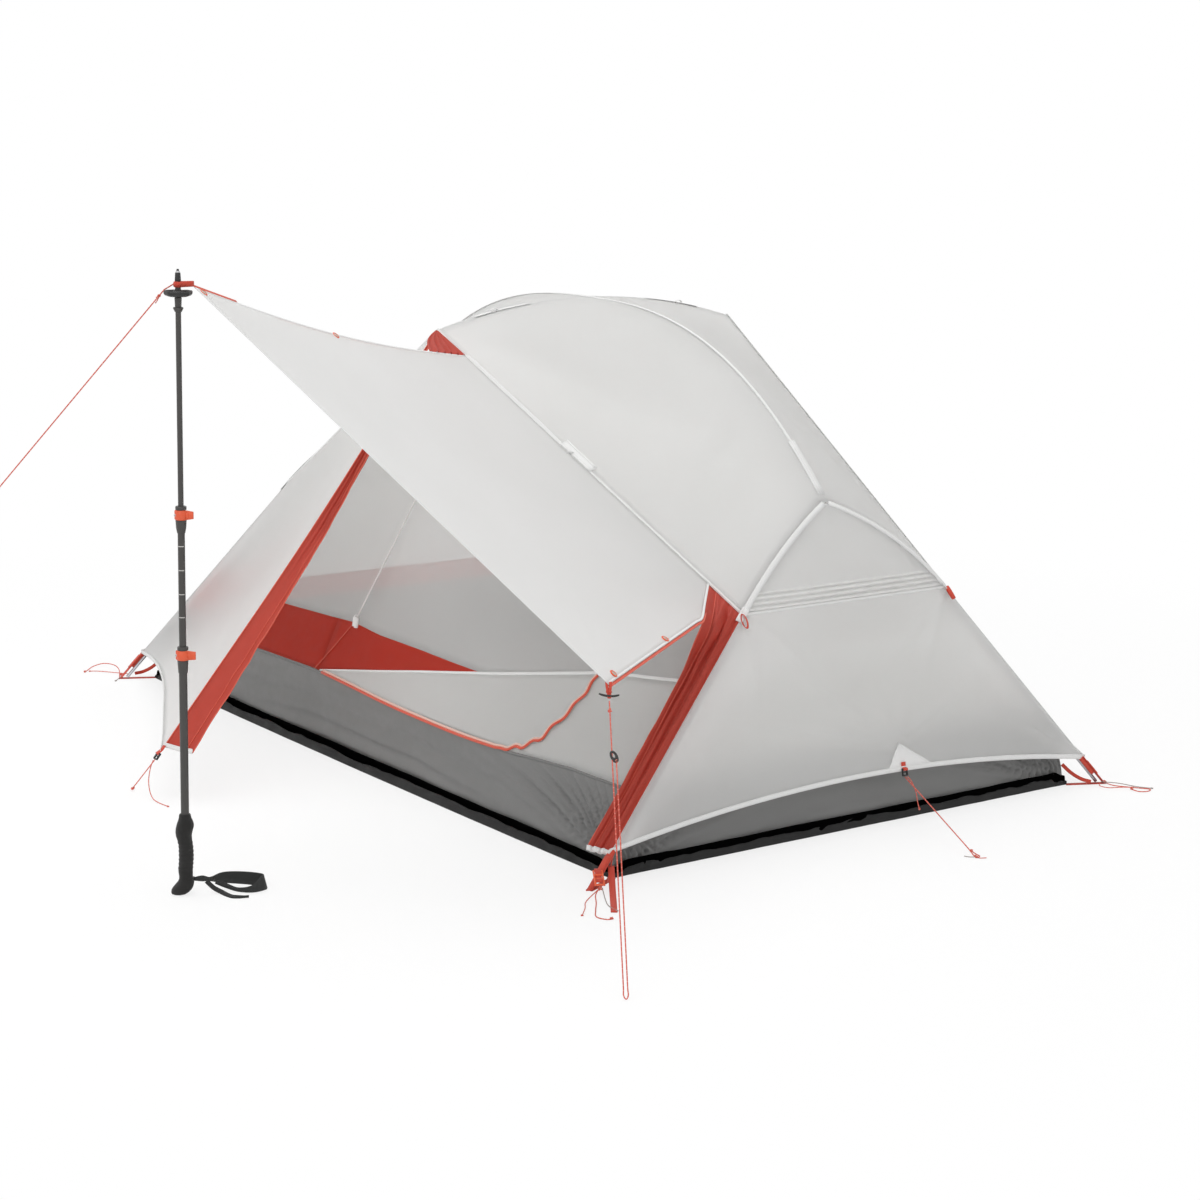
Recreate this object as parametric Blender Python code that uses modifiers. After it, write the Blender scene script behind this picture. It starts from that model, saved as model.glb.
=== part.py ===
"""A two-person backpacking tent with its rainfly door raised as an awning on a trekking pole.

Metres, +Z up. The origin is the middle of the groundsheet's underside, +X runs along the
sleeping length, and the raised door faces -Y.
"""

import math

import bmesh
import bpy
from mathutils import Matrix, Vector

# Clearances and cloth
GAP = 0.0004            # between pieces that touch
ON_CLOTH = 0.0008       # between curved cloth and what lies along it
CLOTH = 0.0012          # thickness of every sheet of cloth
SEWN = 0.0008           # how far a sheet stops short of a folded seam
FLAT_SEAM = 0.0004      # and of a seam between sheets that lie nearly in line
RUNNING_GAP = 0.0004    # radial play of a sliding tube in its bore

# Floor
GROUND_LENGTH = 2.140
GROUND_WIDTH = 1.374
GROUND_RIM = 0.034      # height of the groundsheet's turned-up edge
RIM_LEAN = 0.0025
TUB_INSET = 0.009       # tub base inside the groundsheet's edge
TUB_HEIGHT = 0.197
TUB_LEAN_X = 0.031
TUB_LEAN_Y = 0.023
TUB_CORNER_PULL_X = 0.020   # how far the tub's upper corners are drawn in
TUB_CORNER_PULL_Y = 0.050

# Pole skeleton, given as the line of the rainfly over it
RIDGE_HEIGHT = 1.119
RIDGE_POWER = 2.6       # how suddenly the ridge falls to its hubs
HUB_X = 0.926
HUB_HEIGHT = 0.732
SPREADER_HALF = 0.450
SPREADER_DROP = 0.064
KNEE = (1.013, 0.303, 0.520)
CORNER_OUT = 0.027      # rainfly corner outside the groundsheet's corner
CORNER_HEIGHT = 0.067
POLE_RADIUS = 0.00425
HUB_RADIUS = 0.013
LEG_INSET = (0.010, 0.006, 0.006)

# Inner tent
INNER_HUB_X = 0.880
INNER_HUB_HEIGHT = 0.690
INNER_HUB_HALF = 0.030
INNER_EAVE = 0.400
INNER_EAVE_HEIGHT = 1.000
INNER_RIDGE_DROP = 0.045
DOOR_LEFT = -0.190
DOOR_ZIP_RADIUS = 0.0035
ZIP_TURN_X = 0.640      # where the zip leaves the tub's edge and climbs
ZIP_TOP = (0.905, 0.40)

# Vestibules and awning
STAKE_CORNER = (0.007, 1.209, 0.106)
ZIP_BOW = 0.045
HEM_BOW = (0.035, 0.045)
END_HEM_LIFT = 0.060
HINGE_RADIUS = 0.0025
HINGE_START = 0.10      # share of the line from spreader tip to knee where the door begins
HINGE_END = 0.90
BASKET_HEIGHT = 1.226   # of the trekking pole's basket, which stands under the door's corner
AWNING_POLE_CORNER = (0.670, -1.449, BASKET_HEIGHT + 0.019)
AWNING_FREE_CORNER = (1.288, -0.868, 0.492)
AWNING_EDGE_SAG = 0.024
AWNING_SIDE_PULL = (1.010, -0.372, 0.520)
FLAP_TOP_WIDTH = 0.045
FLAP_WIDTH = 0.075
FLAP_BACKSET = 0.016    # how far the flaps lie inside the closed door's plane

# Trekking pole, upside down: grip on the ground, tip in the awning's corner
POLE_X = 0.670
POLE_Y = -1.484
VIEW_RIGHT = Vector((0.5926, 0.8055, 0.0))     # across the pole, towards the levers' tabs
LOWER_RADIUS = 0.0084
LOWER_BORE = 0.0076
MIDDLE_RADIUS = LOWER_BORE - RUNNING_GAP
MIDDLE_BORE = 0.0060
UPPER_RADIUS = MIDDLE_BORE - RUNNING_GAP
GRIP_TOP = 0.169
LOWER_TOP = 0.521
MIDDLE_TOP = 0.809
UPPER_TOP = BASKET_HEIGHT - 0.0195
TIP_TOP = BASKET_HEIGHT + 0.055
TUBE_OVERLAP = 0.095
LOCK_RADIUS = 0.0112
LOCK_LEVER_HEIGHT = 0.0215
LOCK_COLLAR = 0.007
LOCK_SLEEVE = 0.026
LEVER_WALL = 0.003
LEVER_TAB = 0.014
BASKET_RADIUS = 0.0275
BASKET_BORE = 0.0070

# Webbing, cords and what they run through
STRAP_WIDTH = 0.015
STRAP_THICKNESS = 0.0016
STRAP_FOLD = 0.0047     # how far the fold's cloth stands out past its middle line
CORD_RADIUS = 0.0013
FLOOR_CORD = CORD_RADIUS + 0.0004       # height of the middle of a cord that lies on the ground
GUY_ANCHOR = (1.669, -1.100)            # where the awning's side guyline meets the ground
GUY_SPACING = 0.0080                    # between its two strands
GUY_LOOP = 0.030                        # webbing loop on the awning's free corner
TOGGLE_LENGTH = 0.040
TOGGLE_RADIUS = 0.0026
LOK_TOP = 0.148                         # line tensioner, measured down from the awning's corner
LOK_LENGTH = 0.024
LOK_THICKNESS = 0.006
LOK_WIDTH = 0.018
TIP_GUY_ANCHOR = (-0.15, -2.23, 0.0)
TIP_GUY_LENGTH = 0.640
TIP_LOOP_HEIGHT = 0.0115
TIP_LOOP_BAND = 0.0024
BUCKLE_LENGTH = 0.048
BUCKLE_WIDTH = 0.022
BUCKLE_THICKNESS = 0.0035
BUCKLE_ON_STRAP = 0.046                 # down the strap from the rainfly's corner
BUCKLE_DIRECTION = (0.80, -0.42, -0.42)
TENSIONER_SIZE = (0.018, 0.016, 0.005)

GROUND_HALF_X = GROUND_LENGTH / 2
GROUND_HALF_Y = GROUND_WIDTH / 2
TUB_HALF_X = GROUND_HALF_X - TUB_INSET
TUB_HALF_Y = GROUND_HALF_Y - TUB_INSET
TUB_BASE = CLOTH + GAP
TUB_TOP_X = TUB_HALF_X - TUB_LEAN_X
TUB_TOP_Y = TUB_HALF_Y - TUB_LEAN_Y
INNER_BASE = TUB_HEIGHT + GAP + CLOTH / 2
CORNER = Vector((GROUND_HALF_X + CORNER_OUT, GROUND_HALF_Y + CORNER_OUT, CORNER_HEIGHT))
HUB = Vector((HUB_X, 0, HUB_HEIGHT))
KNEE_POINT = Vector(KNEE)
SPREADER_TIP = Vector((0, SPREADER_HALF, RIDGE_HEIGHT - SPREADER_DROP))
STAKE = Vector(STAKE_CORNER)


def remove_everything():
    """Empty the scene before building."""
    for item in list(bpy.data.objects):
        bpy.data.objects.remove(item, do_unlink=True)


def new_collection(name):
    """Make a collection in the scene."""
    group = bpy.data.collections.new(name)
    bpy.context.scene.collection.children.link(group)
    return group


def material(name, colour, roughness, metallic=0.0):
    """Make a Principled material."""
    result = bpy.data.materials.new(name)
    result.use_nodes = True
    shader = result.node_tree.nodes["Principled BSDF"]
    shader.inputs["Base Color"].default_value = (*colour, 1)
    shader.inputs["Roughness"].default_value = roughness
    shader.inputs["Metallic"].default_value = metallic
    return result


remove_everything()
TENT = new_collection("backpacking_tent")

FLY_CLOTH = material("rainfly cloth", (0.70, 0.69, 0.68), 0.55)
RUST_CLOTH = material("rust cloth", (0.45, 0.05, 0.03), 0.6)
TUB_CLOTH = material("floor cloth", (0.17, 0.17, 0.165), 0.55)
GROUND_CLOTH = material("groundsheet cloth", (0.01, 0.01, 0.011), 0.6)
INNER_CLOTH = material("inner cloth", (0.55, 0.55, 0.54), 0.6)
POLE_METAL = material("tent pole", (0.35, 0.35, 0.36), 0.3, 0.9)
SHAFT_CARBON = material("trekking shaft", (0.04, 0.038, 0.035), 0.4)
BLACK_PLASTIC = material("black plastic", (0.02, 0.02, 0.02), 0.45)
ORANGE_PLASTIC = material("orange plastic", (0.72, 0.09, 0.03), 0.4)
GRIP_FOAM = material("grip foam", (0.012, 0.011, 0.01), 0.85)
WEBBING = material("orange webbing", (0.65, 0.07, 0.03), 0.7)
BLACK_WEBBING = material("black webbing", (0.02, 0.02, 0.02), 0.75)
CORD = material("orange cord", (0.70, 0.10, 0.06), 0.7)
WHITE_CORD = material("white cord", (0.75, 0.75, 0.73), 0.6)
ZIP_TAPE = material("zip", (0.72, 0.10, 0.05), 0.55)
CLEAR_PLASTIC = material("pale plastic", (0.6, 0.6, 0.6), 0.35)


def place(name, data, look, origin=(0, 0, 0)):
    """Add data to the tent as a named object, its origin at a given point."""
    item = bpy.data.objects.new(name, data)
    item.location = origin
    item.data.materials.append(look)
    TENT.objects.link(item)
    return item


def sheet(name, rows, look, thickness=CLOTH, origin=(0, 0, 0), offset=0.0):
    """Skin a grid of points and give it a thickness."""
    origin = Vector(origin)
    shape = bmesh.new()
    grid = [[shape.verts.new(point - origin) for point in row] for row in rows]
    for upper, lower in zip(grid, grid[1:]):
        for i in range(len(upper) - 1):
            shape.faces.new((upper[i], lower[i], lower[i + 1], upper[i + 1]))
    mesh = bpy.data.meshes.new(name)
    shape.to_mesh(mesh)
    shape.free()
    item = place(name, mesh, look, origin)
    solid = item.modifiers.new("thickness", "SOLIDIFY")
    solid.thickness = thickness
    solid.offset = offset
    solid.use_even_offset = True
    return item


def tube(name, points, radius, look, resolution=2, origin=(0, 0, 0)):
    """Sweep a round tube along points, with closed ends."""
    origin = Vector(origin)
    curve = bpy.data.curves.new(name, "CURVE")
    curve.dimensions = "3D"
    curve.bevel_depth = radius
    curve.bevel_resolution = resolution
    curve.use_fill_caps = True
    curve.render_resolution_u = 0
    spline = curve.splines.new("POLY")
    spline.points.add(len(points) - 1)
    for knot, point in zip(spline.points, points):
        knot.co = (*(Vector(point) - origin), 1)
    return place(name, curve, look, origin)


def turned(name, profile, look, origin, steps=16, closed=False):
    """Spin a profile of (radius, height) round a vertical axis at the origin."""
    mesh = bpy.data.meshes.new(name)
    verts = [(radius, 0, height - origin[2]) for radius, height in profile]
    edges = [(i, i + 1) for i in range(len(verts) - 1)]
    if closed:
        edges.append((len(verts) - 1, 0))
    mesh.from_pydata(verts, edges, [])
    item = place(name, mesh, look, origin)
    spin = item.modifiers.new("spin", "SCREW")
    spin.steps = steps
    spin.render_steps = steps
    spin.use_merge_vertices = True
    spin.merge_threshold = 0.00005
    spin.use_normal_calculate = not closed
    spin.use_smooth_shade = True
    return item


def plate(name, outline, height, look, origin):
    """Extrude a flat outline, given in X and Y about the origin, up and down by half a height."""
    curve = bpy.data.curves.new(name, "CURVE")
    curve.dimensions = "2D"
    curve.fill_mode = "BOTH"
    curve.extrude = height / 2
    curve.render_resolution_u = 0
    spline = curve.splines.new("POLY")
    spline.points.add(len(outline) - 1)
    spline.use_cyclic_u = True
    for knot, (x, y) in zip(spline.points, outline):
        knot.co = (x, y, 0, 1)
    return place(name, curve, look, origin)


def smooth_route(points, per_span):
    """Read a smooth curve through hand-chosen points."""
    points = [Vector(point) for point in points]
    ends = [2 * points[0] - points[1], *points, 2 * points[-1] - points[-2]]
    route = []
    for a, b, c, d in zip(ends, ends[1:], ends[2:], ends[3:]):
        for i in range(per_span):
            t = i / per_span
            route.append(
                0.5 * (2 * b + (c - a) * t + (2 * a - 5 * b + 4 * c - d) * t * t
                       + (3 * b - a - 3 * c + d) * t * t * t)
            )
    route.append(points[-1])
    return route


def laid_route(points, per_span):
    """A smooth route that never dips below a cord lying on the ground."""
    route = smooth_route(points, per_span)
    for point in route:
        point.z = max(point.z, FLOOR_CORD)
    return route


def mirror(point, side_x=1, side_y=1):
    """Put a point of the back right quarter into another quarter."""
    return Vector((point[0] * side_x, point[1] * side_y, point[2]))


def steps(count, low=0.0, high=1.0):
    """Evenly spaced values, both ends included."""
    return [low + (high - low) * i / count for i in range(count + 1)]


def ridge_point(x):
    """A point of the rainfly over the ridge pole."""
    fall = (RIDGE_HEIGHT - HUB_HEIGHT) * abs(x / HUB_X) ** RIDGE_POWER
    return Vector((x, 0, RIDGE_HEIGHT - fall))


def spreader_point(share):
    """A point of the rainfly over the spreader pole, from the ridge (0) to its tip (1)."""
    return Vector((0, SPREADER_HALF * share, RIDGE_HEIGHT - SPREADER_DROP * share * share))


def leg_point(share):
    """A point of the rainfly over a back right leg: hub 0, knee 1, corner 2."""
    if share > 1:
        return KNEE_POINT.lerp(CORNER, share - 1)
    run = (CORNER - KNEE_POINT).normalized()
    pull = KNEE_POINT - 0.2 * run
    rest = 1 - share
    return rest * rest * HUB + 2 * rest * share * pull + share * share * KNEE_POINT


def coons(bottom, top, left, right, across, along):
    """Fill four curves that meet at their ends; across and along are the shares to sample."""
    low_left, low_right, high_left, high_right = bottom(0), bottom(1), top(0), top(1)
    rows = []
    for v in along:
        row = []
        for u in across:
            ruled_v = bottom(u).lerp(top(u), v)
            ruled_u = left(v).lerp(right(v), u)
            corners = low_left.lerp(low_right, u).lerp(high_left.lerp(high_right, u), v)
            row.append(ruled_v + ruled_u - corners)
        rows.append(row)
    return rows


def trim(rows, first_row=0.0, last_row=0.0, first_column=0.0, last_column=0.0):
    """Draw a grid's edges in along its own surface by the given distances."""

    def draw_in(line, inner, distance):
        moved = []
        distances = distance if isinstance(distance, list) else [distance] * len(line)
        for i, point in enumerate(line):
            run = line[min(i + 1, len(line) - 1)] - line[max(i - 1, 0)]
            inward = inner[i] - point
            inward -= run * (inward.dot(run) / run.length_squared)
            moved.append(point + inward.normalized() * distances[i])
        return moved

    if first_row:
        rows[0] = draw_in(rows[0], rows[1], first_row)
    if last_row:
        rows[-1] = draw_in(rows[-1], rows[-2], last_row)
    columns = [list(column) for column in zip(*rows)]
    if first_column:
        columns[0] = draw_in(columns[0], columns[1], first_column)
    if last_column:
        columns[-1] = draw_in(columns[-1], columns[-2], last_column)
    return [list(row) for row in zip(*columns)]


def tub_edge(share_x, share_y, height):
    """The tub's upper edge: one share is -1 or 1 on a side and the other runs along it."""
    pull_x = TUB_CORNER_PULL_X * min(abs(share_x), abs(share_y)) ** 6
    pull_y = TUB_CORNER_PULL_Y * min(abs(share_x), abs(share_y)) ** 6
    return Vector((share_x * (TUB_TOP_X - pull_x), share_y * (TUB_TOP_Y - pull_y), height))


def around():
    """Shares round a rectangle, counter-clockwise, closer together near its corners."""
    stops = [-1, -0.94, -0.86, -0.74, -0.5, 0, 0.5, 0.74, 0.86, 0.94]
    ring = [(stop, -1) for stop in stops]
    ring += [(1, stop) for stop in stops]
    ring += [(-stop, 1) for stop in stops]
    ring += [(-1, -stop) for stop in stops]
    return ring


def tray(name, rings, look):
    """A tray of cloth from its base ring up to its rim."""
    shape = bmesh.new()
    made = [[shape.verts.new(point) for point in ring] for ring in rings]
    shape.faces.new(list(reversed(made[0])))
    count = len(made[0])
    for low, high in zip(made, made[1:]):
        for i in range(count):
            j = (i + 1) % count
            shape.faces.new((low[i], low[j], high[j], high[i]))
    mesh = bpy.data.meshes.new(name)
    shape.to_mesh(mesh)
    shape.free()
    item = place(name, mesh, look)
    solid = item.modifiers.new("thickness", "SOLIDIFY")
    solid.thickness = CLOTH
    solid.offset = -1
    solid.use_even_offset = True


def build_floor():
    """Groundsheet with a turned-up edge, and the grey bathtub floor in it."""
    corners = ((-1, -1), (1, -1), (1, 1), (-1, 1))
    rim_x = GROUND_HALF_X - RIM_LEAN
    rim_y = GROUND_HALF_Y - RIM_LEAN
    tray("groundsheet", [
        [Vector((x * GROUND_HALF_X, y * GROUND_HALF_Y, 0)) for x, y in corners],
        [Vector((x * rim_x, y * rim_y, GROUND_RIM)) for x, y in corners],
    ], GROUND_CLOTH)
    low = [Vector((x * TUB_HALF_X, y * TUB_HALF_Y, TUB_BASE)) for x, y in around()]
    high = [tub_edge(x, y, TUB_HEIGHT) for x, y in around()]
    tray("bathtub_floor", [low, high], TUB_CLOTH)


def inner_side_point(share_x, share_up):
    """A point of the front inner wall: share_x -1 to 1 along it, share_up 0 at the tub to 1 at the eave."""
    foot = tub_edge(share_x, -1, INNER_BASE)
    side = abs(share_x)
    middle = Vector((0, -INNER_EAVE, INNER_EAVE_HEIGHT))
    end = Vector((INNER_HUB_X, -INNER_HUB_HALF, INNER_HUB_HEIGHT))
    pull = Vector((0.55 * INNER_HUB_X, -0.5 * INNER_EAVE, 0.5 * (INNER_EAVE_HEIGHT + INNER_HUB_HEIGHT) + 0.06))
    rest = 1 - side
    eave = rest * rest * middle + 2 * rest * side * pull + side * side * end
    eave.x *= math.copysign(1, share_x)
    return foot.lerp(eave, share_up)


def build_inner():
    """Inner tent: four walls, a roof and the zipped door, inside the poles."""
    up = steps(8)
    door = DOOR_LEFT / TUB_TOP_X
    clip = [(CLIP_X + side * CLIP_WIDTH) / TUB_TOP_X for side in (-1, 1.6)]
    left = [[inner_side_point(u, v) for u in [-1, -0.94, -0.86, -0.74, -0.5, door]] for v in up]
    sheet("inner_wall_front", trim(left, 0, SEWN, SEWN, FLAT_SEAM), INNER_CLOTH)
    right = [[inner_side_point(u, v) for u in [door, *clip, 0, 0.25, 0.5, 0.74, 0.86, 0.94, 1]] for v in up]
    sheet("inner_door", trim(right, 0, SEWN, FLAT_SEAM, SEWN), INNER_CLOTH)
    spread = [-1, -0.94, -0.86, -0.74, -0.5, -0.25, 0, 0.25, 0.5, 0.74, 0.86, 0.94, 1]
    back = [[mirror(inner_side_point(u, v), 1, -1) for u in spread] for v in up]
    sheet("inner_wall_back", trim(back, 0, SEWN, SEWN, SEWN), INNER_CLOTH)
    top = Vector((INNER_HUB_X, INNER_HUB_HALF, INNER_HUB_HEIGHT))
    for side, name in ((1, "inner_wall_right"), (-1, "inner_wall_left")):
        rows = []
        for v in up:
            row = []
            for share in (-1, -0.94, -0.86, -0.74, -0.4, 0, 0.4, 0.74, 0.86, 0.94, 1):
                high = Vector((top.x, top.y * share, top.z))
                row.append(mirror(tub_edge(1, share, INNER_BASE).lerp(high, v), side))
            rows.append(row)
        sheet(name, trim(rows, 0, SEWN, SEWN, SEWN), INNER_CLOTH)
    roof = []
    for v in steps(6):
        row = []
        for u in steps(16, -1, 1):
            front = inner_side_point(u, 1)
            middle = ridge_point(u * INNER_HUB_X) - Vector((0, 0, INNER_RIDGE_DROP))
            back_edge = mirror(front, 1, -1)
            rest = 1 - v
            control = 2 * middle - 0.5 * (front + back_edge)
            row.append(rest * rest * front + 2 * rest * v * control + v * v * back_edge)
        roof.append(row)
    sheet("inner_roof", trim(roof, FLAT_SEAM, FLAT_SEAM, SEWN, SEWN), INNER_CLOTH)
    build_door_zip()


def build_door_zip():
    """The inner door's zip, along the tub's edge and up the door's right side."""
    seat = DOOR_ZIP_RADIUS + CLOTH / 2 + ON_CLOTH
    route = []
    for x in steps(6, DOOR_LEFT + 0.01, ZIP_TURN_X):
        route.append(off_inner_front(x, INNER_BASE + 0.004, seat)[0])
    rise = ZIP_TOP[1] - INNER_BASE
    for turn in steps(6, 15, 90):
        angle = math.radians(turn)
        x = ZIP_TURN_X + (ZIP_TOP[0] - ZIP_TURN_X) * math.sin(angle)
        route.append(off_inner_front(x, INNER_BASE + 0.004 + rise * (1 - math.cos(angle)), seat)[0])
    tube("door_zip", smooth_route(route, 2), DOOR_ZIP_RADIUS, ZIP_TAPE)


def on_inner_front(x, z):
    """The point of the front inner wall at a given X and height."""
    low, high = 0.0, 1.0
    for _ in range(30):
        share = (low + high) / 2
        side = inner_share_x(x, share)
        if inner_side_point(side, share).z < z:
            low = share
        else:
            high = share
    return inner_side_point(inner_share_x(x, low), low)


def off_inner_front(x, z, distance):
    """A point a given distance outside the front inner wall, and the wall's outward normal there."""
    point = on_inner_front(x, z)
    right = on_inner_front(x + 0.03, z) - on_inner_front(x - 0.03, z)
    up = on_inner_front(x, z + 0.03) - point
    normal = up.cross(right).normalized()
    if normal.y > 0:
        normal = -normal
    return point + normal * distance, normal


def inner_share_x(x, share_up):
    """The share along the front inner wall that lies at a given X."""
    low, high = 0.0, 1.0
    for _ in range(30):
        side = (low + high) / 2
        if inner_side_point(side, share_up).x < abs(x):
            low = side
        else:
            high = side
    return math.copysign(low, x)


def build_inner_tieout():
    """The white clip on the front inner wall and the cord that pulls it towards the rainfly."""
    seat, outward = off_inner_front(CLIP_X, CLIP_HEIGHT, CLOTH / 2 + ON_CLOTH + CLIP_DEPTH / 2)
    anchor = SPREADER_TIP_FRONT.lerp(KNEE_FRONT, TIE_SHARE) - Vector((0, -0.004, 0.009))
    size = (CLIP_WIDTH / 2, CLIP_DEPTH / 2, CLIP_LENGTH / 2)
    shape = bmesh.new()
    bmesh.ops.create_cube(shape, size=2)
    for vert in shape.verts:
        vert.co = Vector((vert.co.x * size[0], vert.co.y * size[1], vert.co.z * size[2]))
    mesh = bpy.data.meshes.new("inner_clip")
    shape.to_mesh(mesh)
    shape.free()
    item = place("inner_clip", mesh, CLEAR_PLASTIC, seat)
    item.rotation_euler = (-math.atan2(outward.z, -outward.y), 0, 0)
    bevel = item.modifiers.new("rounded", "BEVEL")
    bevel.width = 0.0018
    bevel.segments = 2
    top = seat + Vector((0, 0, CLIP_LENGTH / 2 + 2 * GAP))
    tube("inner_tie_cord", [top, *smooth_route([top.lerp(anchor, t) for t in (0.05, 0.5, 1)], 3)],
         0.0012, WHITE_CORD)


CLIP_X = -0.096
CLIP_HEIGHT = 0.331
CLIP_WIDTH = 0.012
CLIP_DEPTH = 0.008
CLIP_LENGTH = 0.024
TIE_SHARE = 0.139
SPREADER_TIP_FRONT = mirror(SPREADER_TIP, 1, -1)
KNEE_FRONT = mirror(KNEE_POINT, 1, -1)


def build_poles():
    """Ridge pole with a hub at each end, four legs, and the spreader pole across the ridge."""
    spreader_low = CLOTH / 2 + POLE_RADIUS + GAP
    ridge_low = spreader_low + 2 * POLE_RADIUS + GAP
    reach = HUB_X - LEG_INSET[0]
    hub_low = ridge_low + LEG_INSET[2]

    def ridge_pole_point(x):
        point = ridge_point(x)
        point.z -= ridge_low + (hub_low - ridge_low) * abs(x / HUB_X)
        return point

    hub_centre = ridge_pole_point(HUB_X)
    hub_centre.x = reach
    stop = HUB_X - 0.040
    ridge = [ridge_pole_point(x) for x in steps(22, -stop, stop)]
    last = hub_centre + (ridge[-1] - hub_centre).normalized() * (HUB_RADIUS + GAP)
    tube("ridge_pole", [mirror(last, -1), *ridge, last], POLE_RADIUS, POLE_METAL, 2)
    spreader = []
    for share in steps(12, -0.97, 0.97):
        point = spreader_point(share)
        point.z -= spreader_low + 0.004 * share * share
        spreader.append(point)
    tube("spreader_pole", spreader, POLE_RADIUS, POLE_METAL, 2)

    def leg_pole_point(share, side_x, side_y):
        point = leg_point(share)
        start = Vector((reach, 0, hub_centre.z))
        inset = point - Vector(LEG_INSET)
        if share < 0.35:
            inset = start.lerp(inset, share / 0.35)
        return mirror(inset, side_x, side_y)

    run = (CORNER - KNEE_POINT).normalized()
    base = CORNER - Vector(LEG_INSET)
    rim = POLE_RADIUS * math.sqrt(1 - run.z * run.z)
    foot_height = STRAP_THICKNESS + GAP + rim + GAP
    foot = base + run * ((base.z - foot_height) / -run.z)
    for side_x, label_x in ((1, "right"), (-1, "left")):
        shape_hub(f"hub_{label_x}", mirror(hub_centre, side_x))
        for side_y, label_y in ((1, "back"), (-1, "front")):
            points = [leg_pole_point(share, side_x, side_y) for share in steps(9, 0, 1)]
            points += [leg_pole_point(1.5, side_x, side_y), mirror(foot, side_x, side_y)]
            centre = mirror(hub_centre, side_x)
            direction = (points[1] - centre).normalized()
            points[0] = centre + direction * (HUB_RADIUS + GAP)
            if (points[1] - centre).length < HUB_RADIUS + 0.01:
                points.pop(1)
            tube(f"leg_{label_y}_{label_x}", points, POLE_RADIUS, POLE_METAL, 2)
    return foot


def shape_hub(name, centre):
    """A ball hub that the ridge pole and two legs plug into."""
    shape = bmesh.new()
    bmesh.ops.create_uvsphere(shape, u_segments=12, v_segments=8, radius=HUB_RADIUS)
    mesh = bpy.data.meshes.new(name)
    shape.to_mesh(mesh)
    shape.free()
    place(name, mesh, BLACK_PLASTIC, centre)


def build_rainfly():
    """Rainfly: front and back canopy, ends, and the vestibules' fixed panels."""
    for side_y, name in ((-1, "fly_front"), (1, "fly_back")):
        rows = [[] for _ in range(9)]
        quarter = coons(
            lambda u: ridge_point(u * HUB_X),
            lambda u: SPREADER_TIP.lerp(KNEE_POINT, u),
            spreader_point,
            leg_point,
            steps(12),
            steps(8),
        )
        for row, points in zip(rows, quarter):
            left_half = [mirror(point, -1, side_y) for point in reversed(points[1:])]
            row.extend(left_half + [mirror(point, 1, side_y) for point in points])
        rows[0] = [point + Vector((0, side_y * FLAT_SEAM, 0)) for point in rows[0]]
        low = [FLAT_SEAM] * len(rows[0])
        if side_y < 0:
            for i in range(13, 24):
                low[i] = HINGE_RADIUS + GAP
        sheet(name, trim(rows, 0, low, SEWN, SEWN), FLY_CLOTH)
    for side_x, name in ((1, "fly_end_right"), (-1, "fly_end_left")):
        rows = []
        for share in [0.05, 0.2, 0.4, 0.7, 1.0, 1.25, 1.5, 1.75, 2.0]:
            edge = leg_point(share)
            lift = END_HEM_LIFT * max(0.0, share - 1) ** 2
            row = []
            for u in steps(12, -1, 1):
                row.append(Vector((side_x * edge.x, u * edge.y, edge.z + lift * (1 - u * u))))
            rows.append(row)
        sheet(name, trim(rows, 0, 0, SEWN, SEWN), FLY_CLOTH)
    sheet("vestibule_front", vestibule_panel(-1, -1), FLY_CLOTH)
    sheet("vestibule_back", vestibule_panel(-1, 1), FLY_CLOTH)
    sheet("vestibule_back_door", vestibule_panel(1, 1), FLY_CLOTH)


def zip_edge(share):
    """A point of a vestibule's zip edge, spreader tip (0) to stake corner (1), in the back half."""
    point = SPREADER_TIP.lerp(STAKE, share)
    point.y -= ZIP_BOW * math.sin(math.pi * share) ** 1.5
    return point


def vestibule_panel(side_x, side_y):
    """Panel between a leg and the zip edge, with a hem that is cut hollow."""

    def along_zip(v):
        return zip_edge(v)

    def along_leg(v):
        return mirror(leg_point(1 + v), side_x, 1)

    def along_seam(u):
        return SPREADER_TIP.lerp(mirror(KNEE_POINT, side_x), u)

    def along_hem(u):
        point = STAKE.lerp(mirror(CORNER, side_x), u)
        bow = math.sin(math.pi * u)
        return point + Vector((0, -HEM_BOW[0] * bow, HEM_BOW[1] * bow))

    rows = trim(coons(along_seam, along_hem, along_zip, along_leg, steps(10), steps(8)),
                FLAT_SEAM, 0, SEWN, SEWN)
    return [[mirror(point, 1, side_y) for point in row] for row in rows]


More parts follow.
